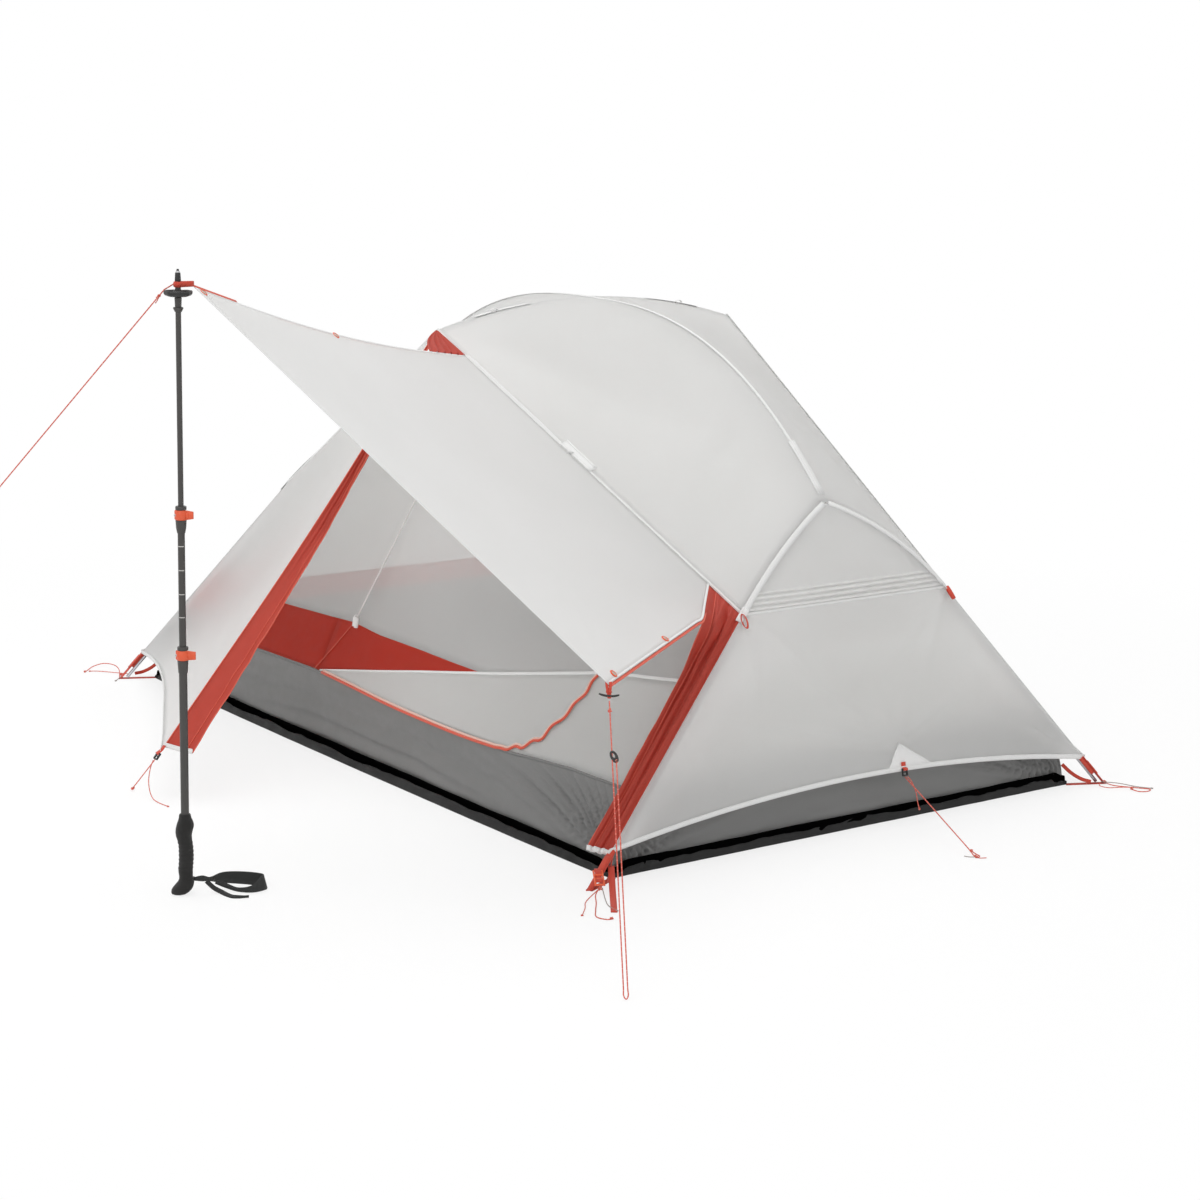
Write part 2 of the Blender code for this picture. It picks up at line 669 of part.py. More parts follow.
def build_awning():
    """The raised vestibule door, hinged on its top seam, and the cord welt it swings about."""
    hinge_from = SPREADER_TIP_FRONT.lerp(KNEE_FRONT, HINGE_START)
    hinge_to = SPREADER_TIP_FRONT.lerp(KNEE_FRONT, HINGE_END)
    pole_corner = Vector(AWNING_POLE_CORNER)
    free_corner = Vector(AWNING_FREE_CORNER)
    side_pull = Vector(AWNING_SIDE_PULL)

    def along_hinge(u):
        return hinge_from.lerp(hinge_to, u)

    def along_free(u):
        return pole_corner.lerp(free_corner, u)

    def along_left(v):
        return hinge_from.lerp(pole_corner, v) - Vector((0, 0, AWNING_EDGE_SAG * math.sin(math.pi * v)))

    def along_right(v):
        rest = 1 - v
        return rest * rest * hinge_to + 2 * rest * v * side_pull + v * v * free_corner

    across = steps(12)
    rows = coons(along_hinge, along_free, along_left, along_right, across, steps(10))
    axis = (hinge_to - hinge_from).normalized()
    for i, share in enumerate(across):
        away = rows[10][i] - along_hinge(share)
        away -= axis * away.dot(axis)
        rows[0][i] = along_hinge(share) + away.normalized() * (HINGE_RADIUS + GAP + CLOTH / 2)
    sheet("awning_door", rows, FLY_CLOTH, origin=hinge_from)
    tube("awning_welt", [hinge_from, hinge_to], HINGE_RADIUS, FLY_CLOTH, 2)


def build_flaps():
    """Rust storm flaps over the zips that the raised door has left open, with their main folds."""
    closed = closed_door_normal()
    stake = mirror(STAKE, 1, -1)
    corner = mirror(CORNER, 1, -1)
    seam = (KNEE_FRONT - SPREADER_TIP_FRONT).normalized()
    rows = []
    for v in steps(16, 0.012, 0.985):
        edge = mirror(zip_edge(v), 1, -1)
        width = FLAP_TOP_WIDTH + (FLAP_WIDTH - FLAP_TOP_WIDTH) * v
        settle = min(1.0, v / 0.2)
        across = seam.lerp((corner - edge).normalized(), settle)
        row = []
        for u in steps(8):
            fold = FLAP_FOLD * math.sin(math.tau * FLAP_FOLDS * u) * math.sin(math.pi * min(v * 1.6, 1))
            sink = FLAP_BACKSET * min(1.0, 4 * v) * math.sin(math.pi * min(1.0, u + 0.15)) + fold
            row.append(edge + across * (width * u) - closed * sink)
        rows.append(row)
    rows = trim(rows, 0, 0, SEWN + GAP, 0)
    sheet("storm_flap_left", rows, RUST_CLOTH)
    rows = []
    for v in steps(12, 0.02, 1.0):
        leg_edge = mirror(leg_point(1 + v), 1, -1)
        toward = (stake - leg_edge).normalized()
        width = FLAP_WIDTH * (0.55 + 0.35 * min(1.0, 4 * v))
        row = []
        for u in steps(8):
            fold = FLAP_FOLD * math.sin(math.tau * FLAP_FOLDS * u) * (1 - 0.7 * v)
            row.append(leg_edge + toward * (width * u) - closed * fold * min(1.0, 4 * u))
        rows.append(row)
    sheet("storm_flap_right", trim(rows, 0, 0, SEWN + GAP, 0), RUST_CLOTH)


FLAP_FOLD = 0.004       # depth of the folds that run down the flaps
FLAP_FOLDS = 2


def closed_door_normal():
    """Outward normal of the plane in which the front door lies when it is zipped shut."""
    tip, knee = SPREADER_TIP_FRONT, KNEE_FRONT
    stake = mirror(STAKE, 1, -1)
    normal = (knee - tip).cross(stake - tip).normalized()
    if normal.y > 0:
        normal = -normal
    return normal


def pole_axis(height):
    """A point on the trekking pole's axis."""
    return Vector((POLE_X, POLE_Y, height))


def lock_profile(top, outer, bore, bottom):
    """Closed profile of a tube with a clamp collar and sleeve at its top end."""
    lever_top = top - LOCK_COLLAR
    lever_low = lever_top - LOCK_LEVER_HEIGHT
    sleeve_low = lever_low - LOCK_SLEEVE
    neck = outer + 0.0008
    return [
        (bore, top), (LOCK_RADIUS - 0.001, top), (LOCK_RADIUS, top - 0.001), (LOCK_RADIUS, lever_top),
        (neck, lever_top), (neck, lever_low), (LOCK_RADIUS, lever_low), (LOCK_RADIUS - 0.001, sleeve_low + 0.01),
        (outer + 0.001, sleeve_low), (outer, sleeve_low), (outer, bottom), (bore, bottom),
    ]


def build_trekking_pole():
    """Three telescoping shafts, two lever locks, basket, foam grip and wrist strap."""
    base = pole_axis(0)
    shaft_low = GRIP_TOP - 0.050
    turned("pole_lower_shaft", lock_profile(LOWER_TOP, LOWER_RADIUS, LOWER_BORE, shaft_low),
           SHAFT_CARBON, base, closed=True)
    turned("pole_middle_shaft",
           lock_profile(MIDDLE_TOP, MIDDLE_RADIUS, MIDDLE_BORE, LOWER_TOP - TUBE_OVERLAP),
           SHAFT_CARBON, pole_axis(LOWER_TOP), closed=True)
    collar_low = UPPER_TOP - 0.010
    tip = [
        (0, TIP_TOP), (0.0018, TIP_TOP), (0.0022, TIP_TOP - 0.004), (0.0030, TIP_TOP - 0.005),
        (0.0030, TIP_TOP - 0.009), (0.0034, TIP_TOP - 0.009), (0.0056, BASKET_HEIGHT + 0.0245),
        (0.0058, BASKET_HEIGHT + 0.015), (0.0062, BASKET_HEIGHT + 0.0148), (0.0066, BASKET_HEIGHT),
        (0.0072, BASKET_HEIGHT - 0.002), (0.0064, UPPER_TOP), (0.0098, UPPER_TOP - 0.0005),
        (0.0102, UPPER_TOP - 0.003), (0.0066, collar_low), (UPPER_RADIUS, collar_low),
        (UPPER_RADIUS, MIDDLE_TOP - TUBE_OVERLAP), (0, MIDDLE_TOP - TUBE_OVERLAP),
    ]
    turned("pole_upper_shaft", tip, SHAFT_CARBON, pole_axis(MIDDLE_TOP))
    disc = [
        (BASKET_BORE, BASKET_HEIGHT + 0.0115), (0.0095, BASKET_HEIGHT + 0.0105),
        (0.0115, BASKET_HEIGHT + 0.0065), (BASKET_RADIUS - 0.003, BASKET_HEIGHT + 0.0065),
        (BASKET_RADIUS, BASKET_HEIGHT + 0.0115), (BASKET_RADIUS, BASKET_HEIGHT + 0.0085),
        (BASKET_RADIUS - 0.003, BASKET_HEIGHT + 0.0035), (0.010, BASKET_HEIGHT + 0.002),
        (BASKET_BORE, BASKET_HEIGHT + 0.002),
    ]
    turned("pole_basket", disc, BLACK_PLASTIC, pole_axis(BASKET_HEIGHT), closed=True)
    build_lever("lock_lever_lower", LOWER_TOP, LOWER_RADIUS)
    build_lever("lock_lever_upper", MIDDLE_TOP, MIDDLE_RADIUS)
    build_grip(shaft_low)


def build_lever(name, top, shaft_radius):
    """A lever that wraps half round its clamp and ends in a thumb tab; it hinges on its left end."""
    height = top - LOCK_COLLAR - LOCK_LEVER_HEIGHT / 2
    inner = shaft_radius + 0.0008 + GAP
    outer = inner + LEVER_WALL
    start = math.atan2(VIEW_RIGHT.y, VIEW_RIGHT.x)
    outline = []
    for i in range(13):
        angle = start - math.radians(15) - math.radians(165) * i / 12
        outline.append((outer * math.cos(angle), outer * math.sin(angle)))
    for i in range(13):
        angle = start - math.radians(180) + math.radians(165) * i / 12
        outline.append((inner * math.cos(angle), inner * math.sin(angle)))
    side = Vector((VIEW_RIGHT.y, -VIEW_RIGHT.x, 0))
    out_near = VIEW_RIGHT * (outer + LEVER_TAB) + side * (inner * 0.5)
    out_far = VIEW_RIGHT * (outer + LEVER_TAB) + side * (inner * 0.5 + LEVER_WALL)
    outline = [(out_near.x, out_near.y), (out_far.x, out_far.y)] + outline
    hinge = pole_axis(height) - VIEW_RIGHT * (inner + LEVER_WALL / 2)
    shift = pole_axis(height) - hinge
    local = [(x + shift.x, y + shift.y) for x, y in outline]
    plate(name, local, LOCK_LEVER_HEIGHT - 2 * GAP, ORANGE_PLASTIC, hinge)


GRIP_NECK = 0.0160      # from the shaft's axis to the grip's side where the strap comes out


def build_grip(shaft_low):
    """Foam grip round the lower shaft, with a head that leans towards the free side."""
    away = -VIEW_RIGHT
    sections = [
        (0.0000, 0.0120, 0.010, 0.012), (0.0035, 0.0110, 0.019, 0.015), (0.0120, 0.0100, 0.0225, 0.0165),
        (0.0240, 0.0040, 0.0200, 0.0165), (0.0360, 0.0010, 0.0165, 0.0150), (0.0600, 0.0010, 0.0150, 0.0140),
        (0.1000, 0.0000, 0.0155, 0.0150), (0.1150, 0.0010, 0.0165, 0.0155), (0.1280, 0.0030, 0.0185, 0.0170),
        (0.1380, -0.0010, 0.0180, 0.0165), (0.1500, -0.0020, 0.0165, 0.0150), (GRIP_TOP - 0.006, 0, 0.0130, 0.0130),
        (GRIP_TOP, 0, 0.0120, 0.0120),
    ]
    sides = 16
    shape = bmesh.new()
    rings = []
    cross = Vector((-away.y, away.x, 0))
    for height, lean, half_wide, half_deep in sections:
        ring = []
        for i in range(sides):
            angle = math.tau * i / sides
            spot = away * (lean + half_wide * math.cos(angle)) + cross * (half_deep * math.sin(angle))
            ring.append(shape.verts.new(spot + Vector((0, 0, height))))
        rings.append(ring)
    bore = []
    for height in (GRIP_TOP, shaft_low - GAP):
        radius = LOWER_RADIUS + GAP
        ring = []
        for i in range(sides):
            angle = math.tau * i / sides
            spot = away * (radius * math.cos(angle)) + cross * (radius * math.sin(angle))
            ring.append(shape.verts.new(spot + Vector((0, 0, height))))
        bore.append(ring)
    loops = [*rings, *bore]
    for low, high in zip(loops, loops[1:]):
        for i in range(sides):
            j = (i + 1) % sides
            shape.faces.new((low[i], low[j], high[j], high[i]))
    shape.faces.new(list(reversed(rings[0])))
    shape.faces.new(bore[-1])
    mesh = bpy.data.meshes.new("pole_grip")
    shape.to_mesh(mesh)
    shape.free()
    place("pole_grip", mesh, GRIP_FOAM, pole_axis(0))


def ribbon(name, centres, widths, look, thickness=STRAP_THICKNESS, offset=0.0):
    """Webbing along a line of centres, each with the half width vector across it."""
    rows = [[centre - half, centre + half] for centre, half in zip(centres, widths)]
    return sheet(name, rows, look, thickness, offset=offset)


def build_wrist_strap():
    """The trekking pole's wrist strap, fallen on its edge in a loop beside the grip."""
    root = pole_axis(0.030) + VIEW_RIGHT * (GRIP_NECK + 2 * GAP)
    route = [
        (*root, 0.004), (0.6930, -1.4550, 0.0315, 0.006), (0.6990, -1.4400, 0.0290, 0.0045),
        (0.6910, -1.4080, 0.0245, 0.011), (0.6930, -1.3720, 0.0190, 0.013), (0.7150, -1.3430, 0.0170, 0.014),
        (0.7400, -1.3270, 0.0158, 0.014), (0.7530, -1.3380, 0.0153, 0.014), (0.7470, -1.3600, 0.0120, 0.011),
        (0.7220, -1.3830, 0.0090, 0.008), (0.7060, -1.4080, 0.0170, 0.006), (0.7050, -1.4300, 0.0240, 0.004),
    ]
    centres = smooth_route([point[:3] for point in route], 2)
    halves = smooth_route([(0, 0, point[3]) for point in route], 2)
    ribbon("wrist_strap", centres, halves, BLACK_WEBBING)


def build_tip_loop():
    """Webbing loop from the awning's corner round the pole's tip, and the guyline from it."""
    clear = 0.0058 + GAP
    reach = AWNING_POLE_CORNER[1] - POLE_Y - CLOTH / 2 - GAP
    outer = clear + TIP_LOOP_BAND
    band = [[], []]
    for i in range(17):
        angle = math.radians(180 + 180 * i / 16)
        band[0].append((outer * math.cos(angle), outer * math.sin(angle)))
        band[1].append((clear * math.cos(angle), clear * math.sin(angle)))
    neck = TIP_LOOP_BAND * 1.1
    band[0] += [(outer * 0.8, reach * 0.45), (neck, reach), (-neck, reach), (-outer * 0.8, reach * 0.45)]
    band[1] += [(clear * 0.75, reach * 0.40), (0.0006, reach * 0.72), (-0.0006, reach * 0.72),
                (-clear * 0.75, reach * 0.40)]
    middle = AWNING_POLE_CORNER[2] + TIP_LOOP_HEIGHT / 2 + GAP / 2
    item = plate("tip_loop", band[0], TIP_LOOP_HEIGHT, WEBBING, pole_axis(middle))
    hole = item.data.splines.new("POLY")
    hole.points.add(len(band[1]) - 1)
    hole.use_cyclic_u = True
    for knot, (x, y) in zip(hole.points, reversed(band[1])):
        knot.co = (x, y, 0, 1)
    pull = Vector(TIP_GUY_ANCHOR) - pole_axis(middle)
    flat = Vector((pull.x, pull.y, 0)).normalized()
    start = pole_axis(middle) + flat * (outer + 2 * GAP)
    rim = pole_axis(BASKET_HEIGHT + 0.0115 + ON_CLOTH + CORD_RADIUS) + flat * (BASKET_RADIUS + 0.001)
    run = (Vector(TIP_GUY_ANCHOR) - rim).normalized() * TIP_GUY_LENGTH
    tube("guyline_tip", [start, start.lerp(rim, 0.5), *[rim + run * t for t in steps(18)]], CORD_RADIUS, CORD)


def build_side_guyline():
    """The awning's free corner: webbing loop, toggle, doubled guyline and its line tensioner."""
    top = Vector(AWNING_FREE_CORNER)
    anchor = Vector((*GUY_ANCHOR, FLOOR_CORD))
    down = (anchor - top).normalized()
    across = Vector((-down.y, down.x, 0)).normalized()
    face = down.cross(across).normalized()
    lead = CLOTH / 2 + GAP
    toggle_at = GUY_LOOP + 0.004
    tube("awning_corner_loop", [top + down * t for t in (lead, toggle_at - TOGGLE_RADIUS - GAP)],
         CORD_RADIUS * 1.4, WEBBING)
    centre = top + down * toggle_at
    bow = [centre + across * (TOGGLE_LENGTH * t) + down * (0.010 * t * t) for t in steps(8, -0.5, 0.5)]
    tube("guyline_toggle", bow, TOGGLE_RADIUS, BLACK_PLASTIC)
    begin = toggle_at + TOGGLE_RADIUS + GAP
    length = (anchor - top).length
    turn = GUY_SPACING / 2
    loop_at = length - 0.020
    route = [top + down * t for t in steps(14, begin, loop_at)]
    middle = top + down * loop_at + across * turn
    flat = Vector((down.x, down.y, 0)).normalized()
    for degrees in (-60, -20, 20, 60):
        angle = math.radians(degrees)
        spot = middle + across * (-turn * 1.35 * -math.sin(angle)) + down * 0.018 * math.cos(angle)
        spot.z = max(spot.z, FLOOR_CORD)
        route.append(spot + flat * 0.001)
    lok_low = LOK_TOP + LOK_LENGTH
    route += [top + down * t + across * GUY_SPACING for t in steps(12, loop_at, lok_low + GAP)]
    tube("guyline_side", route, CORD_RADIUS, CORD)
    build_line_lok(top, down, across, face)


def build_line_lok(top, down, across, face):
    """Line tensioner that slides on the guyline: two bores in a flat block."""
    bore = CORD_RADIUS + RUNNING_GAP
    half_w, half_t = LOK_WIDTH / 2, LOK_THICKNESS / 2
    curve = bpy.data.curves.new("line_tensioner", "CURVE")
    curve.dimensions = "2D"
    curve.fill_mode = "BOTH"
    curve.extrude = LOK_LENGTH / 2
    curve.render_resolution_u = 0
    corner = 0.0018
    outline = [
        (-half_w, -half_t + corner), (-half_w + corner, -half_t), (half_w - corner, -half_t),
        (half_w, -half_t + corner), (half_w, half_t - corner), (half_w - corner, half_t),
        (-half_w + corner, half_t), (-half_w, half_t - corner),
    ]
    loops = [outline]
    for shift in (-GUY_SPACING / 2, GUY_SPACING / 2):
        loops.append([
            (shift + bore * 1.05 * math.cos(math.tau * i / 12), bore * 1.05 * math.sin(math.tau * i / 12))
            for i in range(12)
        ])
    for points in loops:
        spline = curve.splines.new("POLY")
        spline.points.add(len(points) - 1)
        spline.use_cyclic_u = True
        for knot, (x, y) in zip(spline.points, points):
            knot.co = (x, y, 0, 1)
    centre = top + down * (LOK_TOP + LOK_LENGTH / 2) + across * (GUY_SPACING / 2)
    item = place("line_tensioner", curve, BLACK_PLASTIC, centre)
    turn = Matrix((across, face, across.cross(face))).transposed()
    item.rotation_euler = turn.to_euler()


def build_corner_straps():
    """Webbing from each rainfly corner, folded under the pole's foot to the groundsheet's corner."""
    run = (CORNER - KNEE_POINT).normalized()
    outward = Vector((run.x, run.y, 0)).normalized()
    half = Vector((-outward.y, outward.x, 0)) * (STRAP_WIDTH / 2)
    start = CORNER + run * (SEWN + GAP)
    low = STRAP_THICKNESS / 2 + 0.0002
    reach = (start.z - low - 0.004) / -run.z
    bend = start + run * reach
    fold = bend + outward * 0.004 - Vector((0, 0, 0.004))
    back = Vector((GROUND_HALF_X, GROUND_HALF_Y, low)) + outward * (1.5 * GAP)
    line = [start, start.lerp(bend, 0.5), bend, fold + Vector((0, 0, 0.0012)), fold - outward * 0.006, back]
    line[4].z = low
    for side_x, label_x in ((1, "right"), (-1, "left")):
        for side_y, label_y in ((1, "back"), (-1, "front")):
            centres = [mirror(point, side_x, side_y) for point in line]
            halves = [mirror(half, side_x, side_y) for _ in line]
            ribbon(f"corner_strap_{label_y}_{label_x}", centres, halves, WEBBING)
    return fold


def box(name, size, look, centre, turn=None):
    """A block with softened edges."""
    shape = bmesh.new()
    bmesh.ops.create_cube(shape, size=1)
    for vert in shape.verts:
        vert.co = Vector((vert.co.x * size[0], vert.co.y * size[1], vert.co.z * size[2]))
    mesh = bpy.data.meshes.new(name)
    shape.to_mesh(mesh)
    shape.free()
    item = place(name, mesh, look, centre)
    if turn:
        item.rotation_euler = turn.to_euler()
    bevel = item.modifiers.new("rounded", "BEVEL")
    bevel.width = min(size) * 0.25
    bevel.segments = 2
    return item


def facing(along, up_hint):
    """Axes with X along a direction and Z as near as can be to a hint."""
    x = along.normalized()
    y = up_hint.cross(x).normalized()
    return Matrix((x, y, x.cross(y))).transposed()


def build_stake_points(fold):
    """Tensioners on the hems and the cords that were let out to the stakes."""
    outward = Vector((fold.x - CORNER.x, fold.y - CORNER.y, 0)).normalized()
    knot = fold + outward * (STRAP_FOLD + GAP)
    knot.z = FLOOR_CORD + 0.0004
    right_back = [knot, (1.150, 0.766, 0.005), (1.185, 0.800, 0.003), (1.2120, 0.8250, FLOOR_CORD),
                  (1.2220, 0.8060, FLOOR_CORD), (1.2120, 0.7870, FLOOR_CORD), (1.190, 0.780, 0.004)]
    tube("stake_cord_back_right", laid_route(right_back, 4), CORD_RADIUS, CORD)
    left_front = [mirror(knot, -1, -1), (-1.170, -0.748, 0.010), (-1.215, -0.742, 0.014),
                  (-1.262, -0.752, 0.010), (-1.268, -0.780, 0.004), (-1.246, -0.806, FLOOR_CORD),
                  (-1.222, -0.828, FLOOR_CORD)]
    tube("stake_cord_front_left", laid_route(left_front, 4), CORD_RADIUS, CORD)

    slope = (CORNER - KNEE_POINT).normalized()
    level = Vector((-slope.y, slope.x, 0)).normalized()
    face = slope.cross(level).normalized()
    if face.z < 0:
        face = -face
    on_strap = CORNER + slope * BUCKLE_ON_STRAP
    along = Vector(BUCKLE_DIRECTION).normalized()
    edge = Vector((0, 0, 1)).cross(along).normalized()
    dip = abs(mirror(edge, 1, -1).dot(face)) * BUCKLE_WIDTH / 2
    seat = STRAP_THICKNESS / 2 + BUCKLE_THICKNESS / 2 + dip - GAP
    hinge = mirror(on_strap + face * seat, 1, -1)
    item = box("ladder_lock", (BUCKLE_LENGTH, BUCKLE_WIDTH, BUCKLE_THICKNESS), ORANGE_PLASTIC, hinge,
               facing(along, Vector((0, 0, 1))))
    for vert in item.data.vertices:
        vert.co.x += BUCKLE_LENGTH / 2
    end = hinge + along * (BUCKLE_LENGTH + 2 * GAP)
    right_front = [end, (1.163, -0.797, 0.010), (1.190, -0.815, 0.003), (1.225, -0.842, FLOOR_CORD),
                   (1.2580, -0.8640, FLOOR_CORD), (1.2820, -0.8560, FLOOR_CORD), (1.2860, -0.8420, FLOOR_CORD)]
    tube("stake_cord_front_right", laid_route(right_front, 4), CORD_RADIUS, CORD)

    share = HEM_STRAP_Y / CORNER.y
    hem_end = Vector((CORNER.x, HEM_STRAP_Y, CORNER.z + END_HEM_LIFT * (1 - share * share)))
    down = Vector((slope.x, 0, slope.z)).normalized()
    out = Vector((0, 1, 0)).cross(down).normalized()
    if out.x < 0:
        out = -out
    block = hem_end + down * 0.003 + out * (CLOTH / 2 + ON_CLOTH + TENSIONER_SIZE[2] / 2)
    for side, name in ((1, "hem_tensioner_right"), (-1, "hem_tensioner_left")):
        box(name, TENSIONER_SIZE, BLACK_PLASTIC, mirror(block, side),
            facing(mirror(down, side), mirror(out, side)))
    first = block + down * (TENSIONER_SIZE[0] / 2 + GAP + CORD_RADIUS)
    far = Vector((1.352, 0.0815, 0.014))
    tube("hem_cord", laid_route([first, *[first.lerp(far, t) for t in (0.2, 0.4, 0.6, 0.8)], far,
                                 (1.384, 0.075, FLOOR_CORD), (1.381, 0.090, FLOOR_CORD),
                                 (1.365, 0.094, FLOOR_CORD), (1.341, 0.102, FLOOR_CORD)], 4),
         CORD_RADIUS, CORD)

    pull = (STAKE - SPREADER_TIP).normalized()
    face = Vector((1, 0, 0)).cross(pull).normalized()
    if face.y < 0:
        face = -face
    block = STAKE + pull * (TENSIONER_SIZE[0] / 2 + GAP) + Vector((-0.004, 0, 0))
    for side, name in ((-1, "stake_tensioner_front"), (1, "stake_tensioner_back")):
        box(name, TENSIONER_SIZE, BLACK_PLASTIC, mirror(block, 1, side),
            facing(mirror(pull, 1, side), mirror(face, 1, side)))
    first = mirror(block + pull * (TENSIONER_SIZE[0] / 2 + GAP + CORD_RADIUS), 1, -1)
    far = Vector((-0.060, -1.236, 0.040))
    tube("stake_cord_front", laid_route([first, first.lerp(far, 0.33), first.lerp(far, 0.67), far,
                                         (-0.074, -1.243, 0.014), (-0.083, -1.250, FLOOR_CORD),
                                         (-0.072, -1.268, FLOOR_CORD)], 5),
         CORD_RADIUS, CORD)


HEM_STRAP_Y = 0.118     # where the side hem's webbing is sewn on


build_floor()
build_inner()
build_inner_tieout()
build_poles()
build_rainfly()
build_awning()
build_flaps()
build_trekking_pole()
build_wrist_strap()
build_tip_loop()
build_side_guyline()
build_stake_points(build_corner_straps())
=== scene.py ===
"""Looks of a backpacking tent: cloth, netting, webbing, cords, tent poles and a trekking pole."""

import math

import bpy
import numpy as np
from mathutils import Matrix, Vector


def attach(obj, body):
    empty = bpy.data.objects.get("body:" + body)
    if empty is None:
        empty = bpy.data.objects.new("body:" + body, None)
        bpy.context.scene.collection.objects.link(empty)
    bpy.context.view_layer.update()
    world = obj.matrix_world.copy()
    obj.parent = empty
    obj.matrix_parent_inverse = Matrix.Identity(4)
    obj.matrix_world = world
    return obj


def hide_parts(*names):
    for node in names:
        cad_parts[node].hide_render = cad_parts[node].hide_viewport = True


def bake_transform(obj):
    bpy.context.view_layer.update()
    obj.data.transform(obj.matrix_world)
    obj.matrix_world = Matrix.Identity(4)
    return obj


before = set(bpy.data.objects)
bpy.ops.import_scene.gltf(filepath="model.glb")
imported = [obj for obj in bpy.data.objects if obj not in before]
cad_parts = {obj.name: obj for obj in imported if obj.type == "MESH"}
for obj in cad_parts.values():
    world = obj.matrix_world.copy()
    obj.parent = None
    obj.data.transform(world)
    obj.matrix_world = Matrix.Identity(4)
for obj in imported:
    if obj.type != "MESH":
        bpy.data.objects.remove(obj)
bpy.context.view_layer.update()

# Camera
CAMERA_PLACE = (5.253, -3.810, 1.686)
CAMERA_YAW = 53.661
CAMERA_PITCH = -11.716
CAMERA_ROLL = 1.165
CAMERA_LENS = 77.124

# Sizes that the pieces share with the model, in metres
CLOTH = 0.0006
INNER_CLOTH = 0.0005
NET_CLOTH = 0.0004
FLAP_CLOTH = 0.0008
TAPE = 0.0014
GROUND_HALF = (1.070, 0.687)
GROUND_RIM = 0.034
GROUND_BOW = 0.016
TUB_HALF = (1.061, 0.678)
TUB_BASE = 0.0016
TUB_TOP = (1.030, 0.655)
TUB_HEIGHT = 0.197
TUB_PULL = (0.020, 0.050)
TUB_DROP = 0.012
TUB_FRONT_DROP = ((-1.0, 0.012), (-0.5, 0.015), (-0.24, 0.010), (0.11, 0.025), (0.42, 0.028), (0.60, 0.027),
                  (0.72, 0.019), (0.83, 0.015), (1.0, 0.026))
RIDGE_HEIGHT = 1.119
RIDGE_POWER = 2.6
SPREADER_HALF = 0.450
SPREADER_DROP = 0.064
INNER_BASE = 0.198
INNER_HUB = (0.880, 0.030, 0.690)
INNER_EAVE = (0.400, 1.000)
INNER_RIDGE_DROP = 0.045
ZIP_BOW = 0.015
HEM_BOW = (0.035, 0.045)
END_HEM_LIFT = 0.060
POLE_PLACE = (0.670, -1.484)
BASKET_HEIGHT = 1.226
CORD_RADIUS = 0.0013
FLOOR_CORD = 0.0017
FLOOR_GAP = 0.0001
TAIL_RADIUS = 0.0011
LOOP_HEIGHT = 1.25095
GRIP_TOP = 0.169
BLOCK_ROUNDING = 0.25


def point(*numbers):
    """A point or direction as an array."""
    return np.array(numbers, float)


HUB = point(0.926, 0, 0.732)
KNEE = point(1.013, 0.303, 0.520)
CORNER = point(1.097, 0.714, 0.067)
TIP = point(0, SPREADER_HALF, RIDGE_HEIGHT - SPREADER_DROP)
STAKE = point(0.007, 1.209, 0.106)
AWNING_POLE_CORNER = point(0.670, -1.449, 1.245)
AWNING_FREE_CORNER = point(1.288, -0.868, 0.492)
AWNING_SIDE_PULL = point(1.040, -0.435, 0.532)
AWNING_BEND = 0.13
AWNING_EDGE_SAG = 0.024
GUY_ANCHOR = point(1.669, -1.100, FLOOR_CORD)
TIP_STAKE = point(-0.15, -2.23, 0)
VIEW_RIGHT = point(0.5926, 0.8055, 0)
UP = point(0, 0, 1)


def unit(direction):
    """A direction, or many, of length 1."""
    direction = np.asarray(direction, float)
    length = np.linalg.norm(direction, axis=-1, keepdims=True)
    return direction / np.maximum(length, 1e-12)


def lerp(start, end, share):
    """Points between two points, or two lines of points, at the given shares."""
    share = np.asarray(share, float)[..., None]
    return start + (end - start) * share


def flip(points, side_x=1, side_y=1):
    """Points of the back right quarter, put into another quarter."""
    return np.asarray(points) * point(side_x, side_y, 1)


def steps(count, low=0.0, high=1.0):
    """Evenly spaced values, both ends included."""
    return np.linspace(low, high, count + 1)


def around(count):
    """Evenly spaced angles of a full turn."""
    return np.linspace(0, math.tau, count, endpoint=False)


def circle(count, side, rise):
    """Points round a circle, or an oval, that lies in two directions."""
    turn = around(count)[:, None]
    return np.cos(turn) * side + np.sin(turn) * rise


def distance_along(line):
    """How far along a line each of its points lies."""
    return np.concatenate([[0], np.cumsum(np.linalg.norm(np.diff(line, axis=0), axis=-1))])


QUARTERS = ((1, 1), (1, -1), (-1, 1), (-1, -1))
FRONT_TIP, FRONT_KNEE, FRONT_STAKE = (flip(place, 1, -1) for place in (TIP, KNEE, STAKE))
HINGE_FROM = lerp(FRONT_TIP, FRONT_KNEE, 0.10)
HINGE_TO = lerp(FRONT_TIP, FRONT_KNEE, 0.90)
GUY_DOWN = unit(GUY_ANCHOR - AWNING_FREE_CORNER)
GUY_ACROSS = unit(point(-GUY_DOWN[1], GUY_DOWN[0], 0))
VIEW_NEAR = unit(point(VIEW_RIGHT[1], -VIEW_RIGHT[0], 0))


def smooth_step(low, high, value):
    """0 below low, 1 above high, and smooth between."""
    share = np.clip((np.asarray(value, float) - low) / (high - low), 0, 1)
    return share * share * (3 - 2 * share)


